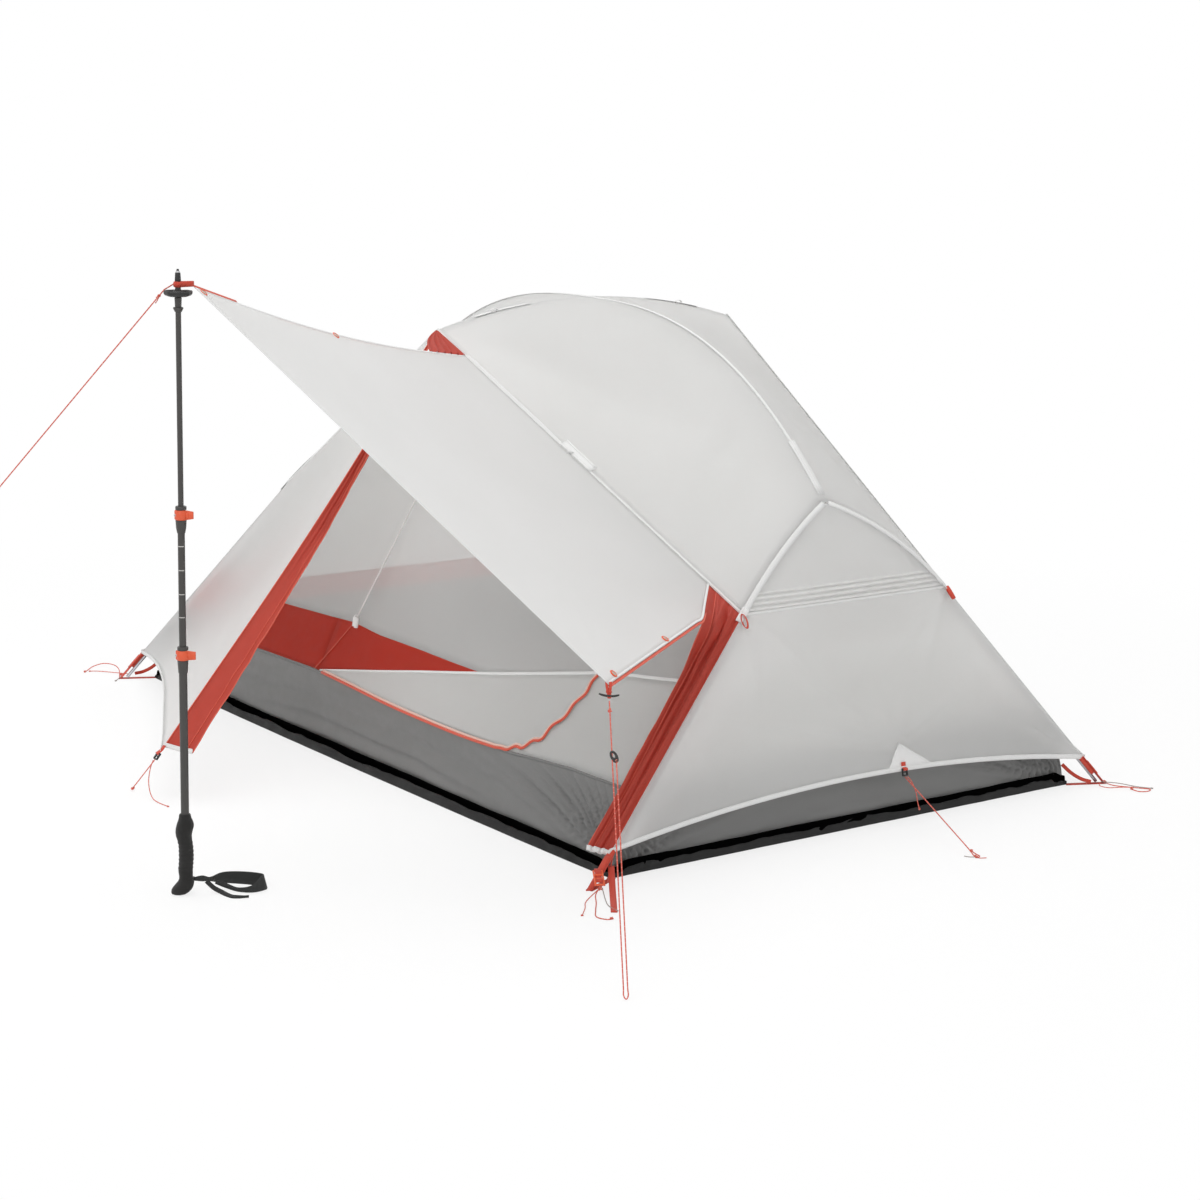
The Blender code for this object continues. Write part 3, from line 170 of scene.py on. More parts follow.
def through(points, per_span):
    """A smooth line through given points."""
    points = [np.array(p, float) for p in points]
    ends = [2 * points[0] - points[1], *points, 2 * points[-1] - points[-2]]
    line = []
    for a, b, c, d in zip(ends, ends[1:], ends[2:], ends[3:]):
        for t in np.arange(per_span) / per_span:
            line.append(0.5 * (2 * b + (c - a) * t + (2 * a - 5 * b + 4 * c - d) * t * t
                               + (3 * b - a - 3 * c + d) * t * t * t))
    line.append(points[-1])
    return np.array(line)


def laid(points, per_span, low=FLOOR_CORD):
    """A smooth line that never dips below a height."""
    line = through(points, per_span)
    line[:, 2] = np.maximum(line[:, 2], low)
    return line


def lattice(x, y, seed=0):
    """Smooth noise over a plane, from -1 to 1."""
    x, y = np.broadcast_arrays(np.asarray(x, float), np.asarray(y, float))
    cell_x, cell_y = np.floor(x).astype(np.int64), np.floor(y).astype(np.int64)
    part_x, part_y = x - cell_x, y - cell_y
    part_x = part_x * part_x * (3 - 2 * part_x)
    part_y = part_y * part_y * (3 - 2 * part_y)

    def value(i, j):
        mixed = ((cell_x + i) * 374761393 + (cell_y + j) * 668265263 + seed * 974711) & 0xFFFFFFFF
        mixed = ((mixed ^ (mixed >> 13)) * 1274126177) & 0xFFFFFFFF
        return (mixed ^ (mixed >> 16)) / 2147483648.0 - 1

    low = value(0, 0) * (1 - part_x) + value(1, 0) * part_x
    high = value(0, 1) * (1 - part_x) + value(1, 1) * part_x
    return low * (1 - part_y) + high * part_y


def crumple(x, y, seed, octaves=3):
    """Noise with finer noise on it."""
    return sum(lattice(x * 2 ** k, y * 2 ** k, seed + k) / 2 ** k for k in range(octaves))


# Shapes of the tent, the same as the model's
def ridge_line(x):
    """The rainfly over the ridge pole, at the given X."""
    x = np.asarray(x, float)
    fall = (RIDGE_HEIGHT - HUB[2]) * np.abs(x / HUB[0]) ** RIDGE_POWER
    return np.stack([x, x * 0, RIDGE_HEIGHT - fall], -1)


def spreader_line(share):
    """The rainfly over the spreader pole, ridge 0 to tip 1."""
    share = np.asarray(share, float)
    return np.stack([share * 0, SPREADER_HALF * share, RIDGE_HEIGHT - SPREADER_DROP * share * share], -1)


def leg_line(share):
    """The rainfly over a leg: hub 0, knee 1, corner 2."""
    share = np.asarray(share, float)
    pull = KNEE - 0.2 * unit(CORNER - KNEE)
    t = np.clip(share, 0, 1)[..., None]
    upper = (1 - t) ** 2 * HUB + 2 * (1 - t) * t * pull + t * t * KNEE
    return np.where((share > 1)[..., None], lerp(KNEE, CORNER, share - 1), upper)


def coons(bottom, top, left, right, across, along):
    """The surface between four edges, as rows of points."""
    u, v = across[None, :, None], along[:, None, None]
    low, high = bottom(across)[None], top(across)[None]
    near, far = left(along)[:, None], right(along)[:, None]
    corners = ((1 - v) * ((1 - u) * low[:, :1] + u * low[:, -1:])
               + v * ((1 - u) * high[:, :1] + u * high[:, -1:]))
    return (1 - v) * low + v * high + (1 - u) * near + u * far - corners


def zip_line(share):
    """A vestibule's zip edge in the back half, spreader tip 0 to stake 1."""
    line = lerp(TIP, STAKE, share)
    line[..., 1] -= ZIP_BOW * np.sin(np.pi * np.clip(share, 0, 1)) ** 1.5
    return line


def hem_line(share, side_x=1):
    """A vestibule's hem in the back half, stake 0 to corner 1, cut hollow."""
    line = lerp(STAKE, flip(CORNER, side_x), share)
    bow = np.sin(np.pi * np.asarray(share, float))
    line[..., 1] -= HEM_BOW[0] * bow
    line[..., 2] += HEM_BOW[1] * bow
    return line


def tub_edge(share_x, share_y, height):
    """The tub's upper edge: one share is -1 or 1 on a side and the other runs along it."""
    share_x, share_y = np.broadcast_arrays(np.asarray(share_x, float), np.asarray(share_y, float))
    pull = np.minimum(np.abs(share_x), np.abs(share_y)) ** 6
    at_front = np.interp(share_x, *zip(*TUB_FRONT_DROP))
    drop = TUB_DROP + (at_front - TUB_DROP) * smooth_step(0.3, -1, share_y)
    return np.stack([share_x * (TUB_TOP[0] - TUB_PULL[0] * pull), share_y * (TUB_TOP[1] - TUB_PULL[1] * pull),
                     height - drop], -1)


def eave_line(share):
    """The front inner wall's upper edge, -1 to 1."""
    side = np.abs(share)[..., None]
    middle = point(0, -INNER_EAVE[0], INNER_EAVE[1])
    end = point(INNER_HUB[0], -INNER_HUB[1], INNER_HUB[2])
    pull = point(0.55 * INNER_HUB[0], -0.5 * INNER_EAVE[0], 0.5 * (INNER_EAVE[1] + INNER_HUB[2]) + 0.06)
    line = (1 - side) ** 2 * middle + 2 * (1 - side) * side * pull + side * side * end
    return line * np.stack([np.sign(share), share * 0 + 1, share * 0 + 1], -1)


def inner_front(share, up):
    """Points of the front inner wall: share -1 to 1 along it, up 0 at the tub to 1 at the eave."""
    share, up = np.broadcast_arrays(np.asarray(share, float), np.asarray(up, float))
    return lerp(tub_edge(share, -1, INNER_BASE), eave_line(share), up)


def inner_up(share, height_at):
    """How far up the front inner wall the height that a function of X gives lies."""
    up = np.full_like(np.asarray(share, float), 0.1)
    for _ in range(8):
        spot = inner_front(share, up)
        low, high = tub_edge(share, -1, INNER_BASE)[..., 2], eave_line(share)[..., 2]
        up = (height_at(spot[..., 0]) - low) / (high - low)
    return np.clip(up, 0, 1)


def normals_of(grid):
    """Unit normals of a grid of points."""
    normal = np.cross(np.gradient(grid, axis=1), np.gradient(grid, axis=0))
    for first, second in ((0, 1), (-1, -2)):
        if np.linalg.norm(normal[first], axis=-1).max() < 1e-9:
            normal[first] = normal[second]
    return unit(normal)


def fold(grid, start, end, width, height, ends=(0.12, 0.5)):
    """The height of one soft fold over a grid, along the line from start to end."""
    start, end = np.array(start, float), np.array(end, float)
    run = end - start
    share = ((grid - start) @ run) / (run @ run)
    held = np.clip(share, 0, 1)
    off = np.linalg.norm(grid - (start + held[..., None] * run), axis=-1)
    fade = smooth_step(0, ends[0], share) * (1 - smooth_step(1 - ends[1], 1, share))
    return height * np.exp(-(off / width) ** 2) * fade


# Meshes
class Shape:
    """Faces of one piece, gathered before they become a mesh."""

    def __init__(self):
        self.points, self.faces, self.spots, self.looks = [], [], [], []

    def add(self, points, faces, spots, look=0):
        """Add points, faces that count from 0, and a place on the cloth for every corner."""
        start = sum(len(p) for p in self.points)
        self.points.append(np.asarray(points, float).reshape(-1, 3))
        self.faces.extend([tuple(int(i) + start for i in face) for face in faces])
        self.spots.extend(spots)
        self.looks.extend([look] * len(faces))

    def grid(self, rows, wrap=False, turned=False):
        """A grid of points as faces; spots are metres across and along."""
        rows = np.asarray(rows, float)
        high, wide = rows.shape[:2]
        across = np.concatenate([[0], np.cumsum(np.linalg.norm(np.diff(rows, axis=1), axis=-1).mean(0))])
        along = np.concatenate([[0], np.cumsum(np.linalg.norm(np.diff(rows, axis=0), axis=-1).mean(1))])
        width = across[-1] + np.linalg.norm(rows[0, 0] - rows[0, -1])
        faces, spots = [], []
        for i in range(high - 1):
            for j in range(wide if wrap else wide - 1):
                k = (j + 1) % wide
                far = across[k] if k else width
                face = (i * wide + j, i * wide + k, (i + 1) * wide + k, (i + 1) * wide + j)
                spot = ((across[j], along[i]), (far, along[i]), (far, along[i + 1]),
                        (across[j], along[i + 1]))
                faces.append(face[::-1] if turned else face)
                spots.append(spot[::-1] if turned else spot)
        self.add(rows, faces, spots)

    def cloth(self, rows, thickness=CLOTH, wrap=False, face=None):
        """A thin closed sheet about a grid of points; face is the direction its two sides lie apart in."""
        rows = np.asarray(rows, float)
        normal = normals_of(rows) if face is None else np.broadcast_to(face, rows.shape)
        if wrap:
            normal = normals_of(np.concatenate([rows[:, -1:], rows, rows[:, :1]], axis=1))[:, 1:-1]
        start = sum(len(p) for p in self.points)
        self.grid(rows + normal * thickness / 2, wrap)
        self.grid(rows - normal * thickness / 2, wrap, turned=True)
        high, wide = rows.shape[:2]
        first_row = [(0, j) for j in range(wide)]
        last_row = [(high - 1, j) for j in range(wide - 1, -1, -1)]
        if wrap:
            edges = [first_row + first_row[:1], last_row + last_row[:1]]
        else:
            edges = [first_row + [(i, wide - 1) for i in range(1, high)] + last_row[1:]
                     + [(i, 0) for i in range(high - 2, -1, -1)]]
        rim = []
        for edge in edges:
            for one, two in zip(edge, edge[1:]):
                if np.linalg.norm(rows[one] - rows[two]) < 1e-7:
                    continue
                first, second = (start + i * wide + j for i, j in (one, two))
                rim.append((first, first + high * wide, second + high * wide, second))
        self.faces.extend(rim)
        self.spots.extend([((0, 0), (0, thickness), (0.001, thickness), (0.001, 0))] * len(rim))
        self.looks.extend([0] * len(rim))

    def lay_flat(self, along, face):
        """Measure places on the cloth across a plane, for a sheet whose edges meet askew."""
        points = np.concatenate(self.points)
        across = points @ unit(np.cross(face, along))
        ahead = points @ unit(along)
        self.spots = [tuple((float(across[i]), float(ahead[i])) for i in one) for one in self.faces]

    def sweep(self, rings, spot_at, cap=None, look=0, closed=False):
        """Faces from ring to ring of points, with both ends capped unless the last ring meets the first."""
        count, sides = rings.shape[:2]
        faces, spots = [], []
        for i in range(count if closed else count - 1):
            j = (i + 1) % count
            for a in range(sides):
                b = (a + 1) % sides
                faces.append((i * sides + a, i * sides + b, j * sides + b, j * sides + a))
                spots.append((spot_at(i, a), spot_at(i, a + 1), spot_at(i + 1, a + 1), spot_at(i + 1, a)))
        if not closed:
            cap = cap or [(math.cos(t), math.sin(t)) for t in around(sides)]
            faces += [tuple(range(sides))[::-1], tuple(range((count - 1) * sides, count * sides))]
            spots += [tuple((0.001 * x, 0.001 * y) for x, y in cap)] * 2
        self.add(rings, faces, spots, look)

    def tube(self, line, radius, look=0, sides=8, closed=False):
        """A tube along a line."""
        line = np.asarray(line, float)
        radius = np.broadcast_to(np.asarray(radius, float), (len(line),))
        ahead = unit(np.roll(line, -1, 0) - np.roll(line, 1, 0) if closed else np.gradient(line, axis=0))
        side = np.zeros_like(line)
        first = np.cross(ahead[0], UP)
        if np.linalg.norm(first) < 0.1:
            first = np.cross(ahead[0], point(1, 0, 0))
        side[0] = unit(first)
        for i in range(1, len(line)):
            side[i] = unit(side[i - 1] - ahead[i] * (side[i - 1] @ ahead[i]))
        rise = np.cross(ahead, side)
        turn = around(sides)[None, :, None]
        ring = np.cos(turn) * side[:, None] + np.sin(turn) * rise[:, None]
        rings = line[:, None] + radius[:, None, None] * ring
        along = distance_along(np.concatenate([line, line[:1]]))
        girth = math.tau * float(radius.mean())
        self.sweep(rings, lambda i, a: (along[i], girth * a / sides), look=look, closed=closed)

    def band(self, line, across, width, thickness=0.0012, look=0):
        """Webbing or tape along a line, as wide as given across it, with soft edges."""
        line = np.asarray(line, float)
        width = np.broadcast_to(np.asarray(width, float), (len(line),))[:, None]
        ahead = unit(np.gradient(line, axis=0))
        side = np.broadcast_to(np.asarray(across, float), line.shape)
        side = unit(side - ahead * (side * ahead).sum(-1, keepdims=True))
        face = np.cross(ahead, side)
        section = ((-0.5, 0.0), (-0.47, 0.5), (0.0, 0.56), (0.47, 0.5), (0.5, 0.0), (0.47, -0.5),
                   (0.0, -0.56), (-0.47, -0.5))
        rings = np.stack([line + side * width * a + face * thickness * b for a, b in section], axis=1)
        along = distance_along(line)
        self.sweep(rings, lambda i, a: (along[i], section[a % len(section)][0] * width[i, 0]), section, look)

    def lathe(self, profile, foot, look=0, sides=32, axis=UP):
        """A turned form about an upright or given axis, from (radius, height) pairs, closed at both ends."""
        axis = unit(axis)
        side = unit(np.cross(axis, point(1, 0, 0) if abs(axis[0]) < 0.9 else point(0, 1, 0)))
        ring = circle(sides, side, np.cross(axis, side))
        rings = np.stack([foot + axis * height + ring * max(radius, 1e-5) for radius, height in profile])
        self.sweep(rings, lambda i, a: (0.01 * a / sides, profile[i][1]), look=look)

    def block(self, centre, axes, size):
        """A block with rounded edges; axes are its three directions."""
        half = np.array(size, float) / 2
        cut = min(size) * BLOCK_ROUNDING
        rings = []
        for z, inset in ((-half[2], cut), (-half[2] + cut, 0), (half[2] - cut, 0), (half[2], cut)):
            x, y = half[0] - inset, half[1] - inset
            corner = cut if inset == 0 else cut * 0.6
            outline = [(-x + corner, -y), (x - corner, -y), (x, -y + corner), (x, y - corner),
                       (x - corner, y), (-x + corner, y), (-x, y - corner), (-x, -y + corner)]
            rings.append([centre + axes[0] * a + axes[1] * b + axes[2] * z for a, b in outline])
        self.sweep(np.array(rings), lambda i, a: (0.002 * i, 0.001 * a))

    def knot(self, centre, ahead, size, radius):
        """A small overhand knot on a cord."""
        ahead = unit(ahead)
        side = unit(np.cross(ahead, UP if abs(ahead[2]) < 0.9 else point(1, 0, 0)))
        turn = around(48)[:, None]
        x = (np.sin(turn) + 2 * np.sin(2 * turn)) / 3
        y = (np.cos(turn) - 2 * np.cos(2 * turn)) / 3
        z = -np.sin(3 * turn) / 2.2
        loop = 0.8 * x * side + y * ahead + 0.8 * z * np.cross(ahead, side)
        self.tube(centre + size * loop, radius, sides=6, closed=True)

    def make(self, name, looks, body="tent", replaces=()):
        """Turn what was gathered into a piece that rides on a body of the frame."""
        mesh = bpy.data.meshes.new(name)
        points = np.concatenate(self.points)
        points[:, 2] = np.maximum(points[:, 2], FLOOR_GAP)
        mesh.from_pydata(points.tolist(), [], self.faces)
        layer = mesh.uv_layers.new(name="cloth")
        flat = [number for face in self.spots for spot in face for number in spot]
        layer.data.foreach_set("uv", np.array(flat, np.float32))
        for look in looks if isinstance(looks, list) else [looks]:
            mesh.materials.append(look)
        mesh.polygons.foreach_set("material_index", np.array(self.looks, np.int32))
        mesh.polygons.foreach_set("use_smooth", np.ones(len(self.faces), bool))
        mesh.update()
        piece = bpy.data.objects.new(name, mesh)
        bpy.context.scene.collection.objects.link(piece)
        if body:
            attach(piece, body)
        if replaces:
            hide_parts(*([replaces] if isinstance(replaces, str) else replaces))
        return piece


def declare_sheet(piece, rows):
    """Work out the size a cloth was cut to, from the surface it covers; nothing is done with it."""
    rows = np.asarray(rows, float)
    across = np.linalg.norm(np.diff(rows, axis=1), axis=-1).sum(1).max()
    along = np.linalg.norm(np.diff(rows, axis=0), axis=-1).sum(0).max()
    one = np.cross(rows[:-1, 1:] - rows[:-1, :-1], rows[1:, :-1] - rows[:-1, :-1])
    two = np.cross(rows[1:, :-1] - rows[1:, 1:], rows[:-1, 1:] - rows[1:, 1:])
    area = float((np.linalg.norm(one, axis=-1) + np.linalg.norm(two, axis=-1)).sum() / 2)
    area = min(max(area, 0.301 * across * along), across * along)


def sheet(name, rows, look, replaces=(), thickness=INNER_CLOTH, wrap=False):
    """A cloth as a thin piece about a grid of points; its flat size is worked out but not stated."""
    shape = Shape()
    shape.cloth(rows, thickness, wrap)
    declare_sheet(shape.make(name, look, "tent", replaces), rows)


# Colours and materials
def colour(red, green, blue):
    """A colour given as it is seen, from 0 to 255, for a shader."""

    def linear(value):
        value /= 255
        return value / 12.92 if value <= 0.04045 else ((value + 0.055) / 1.055) ** 2.4

    return (linear(red), linear(green), linear(blue), 1)


class Nodes:
    """A tree of shader nodes, added one at a time."""

    def __init__(self, tree, output):
        self.tree, self.output = tree, output

    def put(self, kind, inputs=None, **settings):
        """Add a node; a value that comes from another node is linked."""
        node = self.tree.nodes.new(kind)
        for key, value in settings.items():
            setattr(node, key, value)
        for key, value in (inputs or {}).items():
            if isinstance(value, bpy.types.NodeSocket):
                self.tree.links.new(value, node.inputs[key])
            else:
                node.inputs[key].default_value = value
        return node

    def sum(self, operation, first, second=0.0):
        """A number worked out from others."""
        return self.put("ShaderNodeMath", {0: first, 1: second}, operation=operation).outputs[0]

    def times(self, first, second):
        """One number times another."""
        return self.sum("MULTIPLY", first, second)

    def plus(self, first, second):
        """One number and another."""
        return self.sum("ADD", first, second)

    def mix(self, share, first, second):
        """Two shaders mixed."""
        return self.put("ShaderNodeMixShader", {0: share, 1: first.outputs[0],
                                                2: second.outputs[0]}).outputs[0]

    def seen(self):
        """1 where the camera, a mirrored ray or a ray through glass looks, and 0 for light that spreads."""
        rays = self.put("ShaderNodeLightPath").outputs
        direct = self.sum("MAXIMUM", rays["Is Camera Ray"], rays["Is Glossy Ray"])
        return self.sum("MAXIMUM", direct, rays["Is Transmission Ray"])

    def finish(self, surface):
        """Send a shader to the output."""
        self.tree.links.new(surface, self.output.inputs["Surface"])


class Look(Nodes):
    """A material and its nodes."""

    def __init__(self, name, roughness=0.6, **sockets):
        self.material = bpy.data.materials.new(name)
        self.material.use_nodes = True
        tree = self.material.node_tree
        super().__init__(tree, tree.nodes["Material Output"])
        self.shader = tree.nodes["Principled BSDF"]
        self.shader.inputs["Roughness"].default_value = roughness
        for key, value in sockets.items():
            self.shader.inputs[key.replace("_", " ")].default_value = value

    def spot(self):
        """Metres across and along the cloth."""
        return self.put("ShaderNodeUVMap", uv_map="cloth").outputs[0]

    def place(self):
        """Metres in the object's own space."""
        return self.put("ShaderNodeTexCoord").outputs["Object"]

    def noise(self, where, scale, detail=3.0, roughness=0.5):
        """Soft noise from 0 to 1."""
        node = self.put("ShaderNodeTexNoise", {"Vector": where, "Scale": scale, "Detail": detail,
                                               "Roughness": roughness})
        return node.outputs["Fac"]

    def spread(self, value, low, high, to_low, to_high):
        """A number moved from one range to another."""
        return self.put("ShaderNodeMapRange", {"Value": value, "From Min": low, "From Max": high,
                                               "To Min": to_low, "To Max": to_high}).outputs[0]

    def blend(self, share, first, second):
        """Two colours mixed."""
        return self.put("ShaderNodeMix", {0: share, 6: first, 7: second}, data_type="RGBA").outputs[2]

    def cell(self, where, pitch):
        """The two parts of a position inside a repeating square, from 0 to 1."""
        scaled = self.put("ShaderNodeVectorMath", {0: where, "Scale": 1 / pitch},
                          operation="SCALE").outputs[0]
        part = self.put("ShaderNodeVectorMath", {0: scaled}, operation="FRACTION").outputs[0]
        split = self.put("ShaderNodeSeparateXYZ", {0: part})
        return split.outputs[0], split.outputs[1]

    def lines(self, where, pitch, share):
        """1 on the threads of a square grid and 0 between them."""
        found = []
        for part in self.cell(where, pitch):
            away = self.sum("ABSOLUTE", self.sum("SUBTRACT", part, 0.5))
            found.append(self.spread(away, share, share + 0.04, 1, 0))
        return self.sum("MAXIMUM", *found)

    def paint(self, value):
        """Give the shader its colour."""
        self.tree.links.new(value, self.shader.inputs["Base Color"])

    def rough(self, value):
        """Give the shader its roughness."""
        self.tree.links.new(value, self.shader.inputs["Roughness"])

    def bump(self, height, distance, strength=1.0):
        """Give the shader its fine relief."""
        node = self.put("ShaderNodeBump", {"Height": height, "Distance": distance, "Strength": strength})
        self.tree.links.new(node.outputs[0], self.shader.inputs["Normal"])
        return node.outputs[0]


def tint(base, factor):
    """A colour made lighter or darker."""
    return tuple(min(1.0, channel * factor) for channel in base[:3]) + (1,)


def cloth_look(name, base, glow=None, share=0.0, roughness=0.6, pitch=0.005, vary=0.05, shine=0.5,
               relief=0.00012):
    """Coated ripstop cloth; with a share, light comes through it."""
    look = Look(name, roughness, Specular_IOR_Level=shine)
    spot = look.spot()
    threads = look.lines(spot, pitch, 0.06)
    broad = look.noise(spot, 3.0, 4.0)
    fine = look.noise(spot, 260.0, 2.0)
    shade = look.plus(look.times(broad, 0.7), look.times(fine, 0.3))
    mixed = look.blend(shade, tint(base, 1 - vary), tint(base, 1 + vary))
    mixed = look.blend(look.times(threads, 0.10), mixed, tint(base, 0.80))
    look.paint(mixed)
    look.rough(look.spread(look.noise(spot, 40.0), 0.3, 0.7, roughness - 0.07, roughness + 0.08))
    height = look.plus(look.times(threads, 0.5), look.times(fine, 0.5))
    normal = look.bump(height, relief, 0.5)
    if share:
        through_cloth = look.put("ShaderNodeBsdfTranslucent", {"Normal": normal})
        glowing = look.blend(shade, tint(glow or base, 1 - vary), tint(glow or base, 1 + vary))
        look.tree.links.new(glowing, through_cloth.inputs["Color"])
        look.finish(look.mix(share, look.shader, through_cloth))
    return look.material


def net_look(name, base, cover, share=0.3):
    """Netting: fine knitted threads with holes, seen through."""
    look = Look(name, 0.8)
    spot = look.spot()
    first, second = look.cell(spot, 0.0016)
    away = look.sum("POWER", look.plus(look.sum("POWER", look.sum("SUBTRACT", first, 0.5), 2.0),
                                      look.sum("POWER", look.sum("SUBTRACT", second, 0.5), 2.0)), 0.5)
    thread = look.spread(away, 0.30, 0.42, cover - 0.10, cover + 0.14)
    shade = look.noise(spot, 6.0, 3.0)
    look.paint(look.blend(shade, tint(base, 0.95), tint(base, 1.05)))
    look.bump(thread, 0.0002, 0.4)
    glow = look.put("ShaderNodeBsdfTranslucent", {"Color": base})
    solid = look.put("ShaderNodeMixShader", {0: share, 1: look.shader.outputs[0], 2: glow.outputs[0]})
    clear = look.put("ShaderNodeBsdfTransparent")
    look.finish(look.mix(thread, clear, solid))
    return look.material


def webbing_look(name, base, pitch=0.0016, roughness=0.75, stitch=None, width=0.015):
    """Woven tape: slanted ribs across it, and rows of stitches near its edges."""
    look = Look(name, roughness, Sheen_Weight=0.1)
    spot = look.spot()
    split = look.put("ShaderNodeSeparateXYZ", {0: spot})
    along, across = split.outputs[0], split.outputs[1]
    slant = look.plus(along, look.times(look.sum("ABSOLUTE", across), 0.6))
    rib = look.sum("SINE", look.times(slant, math.tau / pitch))
    warp = look.sum("SINE", look.times(across, math.tau / (pitch * 0.8)))
    weave = look.spread(look.plus(rib, look.times(warp, 0.5)), -1.5, 1.5, 0, 1)
    grime = look.noise(spot, 35.0, 4.0)
    mixed = look.blend(weave, tint(base, 0.80), tint(base, 1.10))
    mixed = look.blend(look.times(grime, 0.25), mixed, tint(base, 0.72))
    if stitch:
        edge = look.sum("ABSOLUTE", look.sum("SUBTRACT", look.sum("ABSOLUTE", across), width * 0.36))
        near = look.spread(edge, 0.0003, 0.0006, 1, 0)
        dash = look.spread(look.sum("SINE", look.times(along, math.tau / 0.0035)), -0.4, -0.1, 0, 1)
        mixed = look.blend(look.times(near, dash), mixed, stitch)
    look.paint(mixed)
    look.bump(weave, 0.00025, 0.7)
    return look.material


def cord_look(name, base, fleck=None):
    """Braided cord: two sets of strands that wind round it."""
    look = Look(name, 0.65, Sheen_Weight=0.1)
    split = look.put("ShaderNodeSeparateXYZ", {0: look.spot()})
    along = look.times(split.outputs[0], math.tau / 0.0032)
    round_it = look.times(split.outputs[1], math.tau / 0.0016)
    one = look.sum("SINE", look.plus(along, round_it))
    two = look.sum("SINE", look.sum("SUBTRACT", along, round_it))
    braid = look.spread(look.sum("MAXIMUM", one, two), -0.2, 1, 0, 1)
    mixed = look.blend(braid, tint(base, 0.72), tint(base, 1.10))
    if fleck:
        mark = look.sum("SINE", look.times(split.outputs[0], math.tau / 0.011))
        mark = look.spread(mark, 0.86, 0.93, 0, 1)
        mixed = look.blend(mark, mixed, fleck)
    look.paint(mixed)
    look.bump(braid, 0.0003, 0.8)
    return look.material


def plastic_look(name, base, roughness=0.45, speck=0.04):
    """Moulded plastic with a fine grain and paler worn edges."""
    look = Look(name, roughness)
    place = look.place()
    grain = look.noise(place, 900.0, 3.0)
    broad = look.noise(place, 40.0, 3.0)
    wear = look.put("ShaderNodeNewGeometry").outputs["Pointiness"]
    worn = look.spread(wear, 0.54, 0.62, 0, 0.35)
    mixed = look.blend(broad, tint(base, 1 - speck * 2), tint(base, 1 + speck * 2))
    mixed = look.blend(worn, mixed, tint(base, 1.9))
    look.paint(mixed)
    look.rough(look.spread(broad, 0.3, 0.7, roughness - 0.08, roughness + 0.10))
    look.bump(grain, 0.00008, 0.5)
    return look.material


def tube_look(name, base, metal, roughness, twist):
    """Drawn or wound tube: streaks along it and slight handling marks."""
    look = Look(name, roughness, Metallic=metal)
    place = look.place()
    stretched = look.put("ShaderNodeMapping", {"Vector": place, "Scale": (1.0, 1.0, 0.04)}).outputs[0]
    streak = look.noise(stretched, 900.0, 3.0)
    mark = look.noise(place, 70.0, 5.0, 0.7)
    mixed = look.blend(streak, tint(base, 0.82), tint(base, 1.22))
    if twist:
        split = look.put("ShaderNodeSeparateXYZ", {0: place})
        slant = look.plus(split.outputs[2], look.plus(split.outputs[0], split.outputs[1]))
        weave = look.sum("SINE", look.times(slant, math.tau / 0.003))
        mixed = look.blend(look.spread(weave, 0.2, 1, 0, 0.35), mixed, tint(base, 1.7))
    look.paint(mixed)
    look.rough(look.spread(mark, 0.35, 0.75, roughness - 0.08, roughness + 0.18))
    look.bump(streak, 0.00005, 0.4)
    return look.material


def foam_look(name, base):
    """Closed-cell foam: tiny pores and a dusty bloom."""
    look = Look(name, 0.88, Sheen_Weight=0.15)
    place = look.place()
    pores = look.put("ShaderNodeTexVoronoi", {"Vector": place, "Scale": 900.0}).outputs["Distance"]
    broad = look.noise(place, 55.0, 4.0)
    look.paint(look.blend(broad, tint(base, 0.75), tint(base, 1.5)))
    look.rough(look.spread(broad, 0.3, 0.7, 0.80, 0.95))
    look.bump(look.plus(pores, look.times(broad, 0.6)), 0.0004, 0.6)
    return look.material


def steel_look(name):
    """Worn hard-metal tip."""
    look = Look(name, 0.35, Metallic=1.0)
    place = look.place()
    mark = look.noise(place, 400.0, 4.0, 0.7)
    look.paint(look.blend(mark, (0.32, 0.32, 0.33, 1), (0.62, 0.62, 0.63, 1)))
    look.rough(look.spread(mark, 0.3, 0.7, 0.25, 0.5))
    look.bump(mark, 0.00005, 0.4)
    return look.material


FLY = cloth_look("rainfly_cloth", colour(246, 246, 245), glow=colour(254, 254, 253), share=0.74,
                 roughness=0.52)
AWNING = cloth_look("awning_cloth", colour(226, 226, 225), glow=colour(253, 253, 252), share=0.68,
                    roughness=0.52, relief=0.00001)
RUST = cloth_look("storm_flap_cloth", colour(196, 76, 60), glow=colour(224, 86, 64), share=0.35,
                  roughness=0.62, vary=0.12)
RED = cloth_look("inner_red_cloth", colour(196, 66, 48), glow=colour(240, 98, 68), share=0.54, roughness=0.66,
                 vary=0.06)
TUB = cloth_look("floor_cloth", colour(117, 117, 116), roughness=0.42, vary=0.08)
GROUND = cloth_look("groundsheet_cloth", colour(30, 30, 30), roughness=0.50, vary=0.50, shine=0.25)
# Near-black painted shade, for the strip that stands in the gap between the groundsheet's turned-up edge and
# the tub, where there is only shadow.
SHADE = cloth_look("groundsheet_painted_shade", colour(4, 4, 4), roughness=0.95, vary=0.10, shine=0.0)
LINING = cloth_look("inner_pale_cloth", colour(240, 240, 238), glow=colour(253, 253, 252), share=0.70,
                    roughness=0.62, vary=0.04)
NET = net_look("inner_netting", colour(244, 244, 243), 0.24, 0.6)
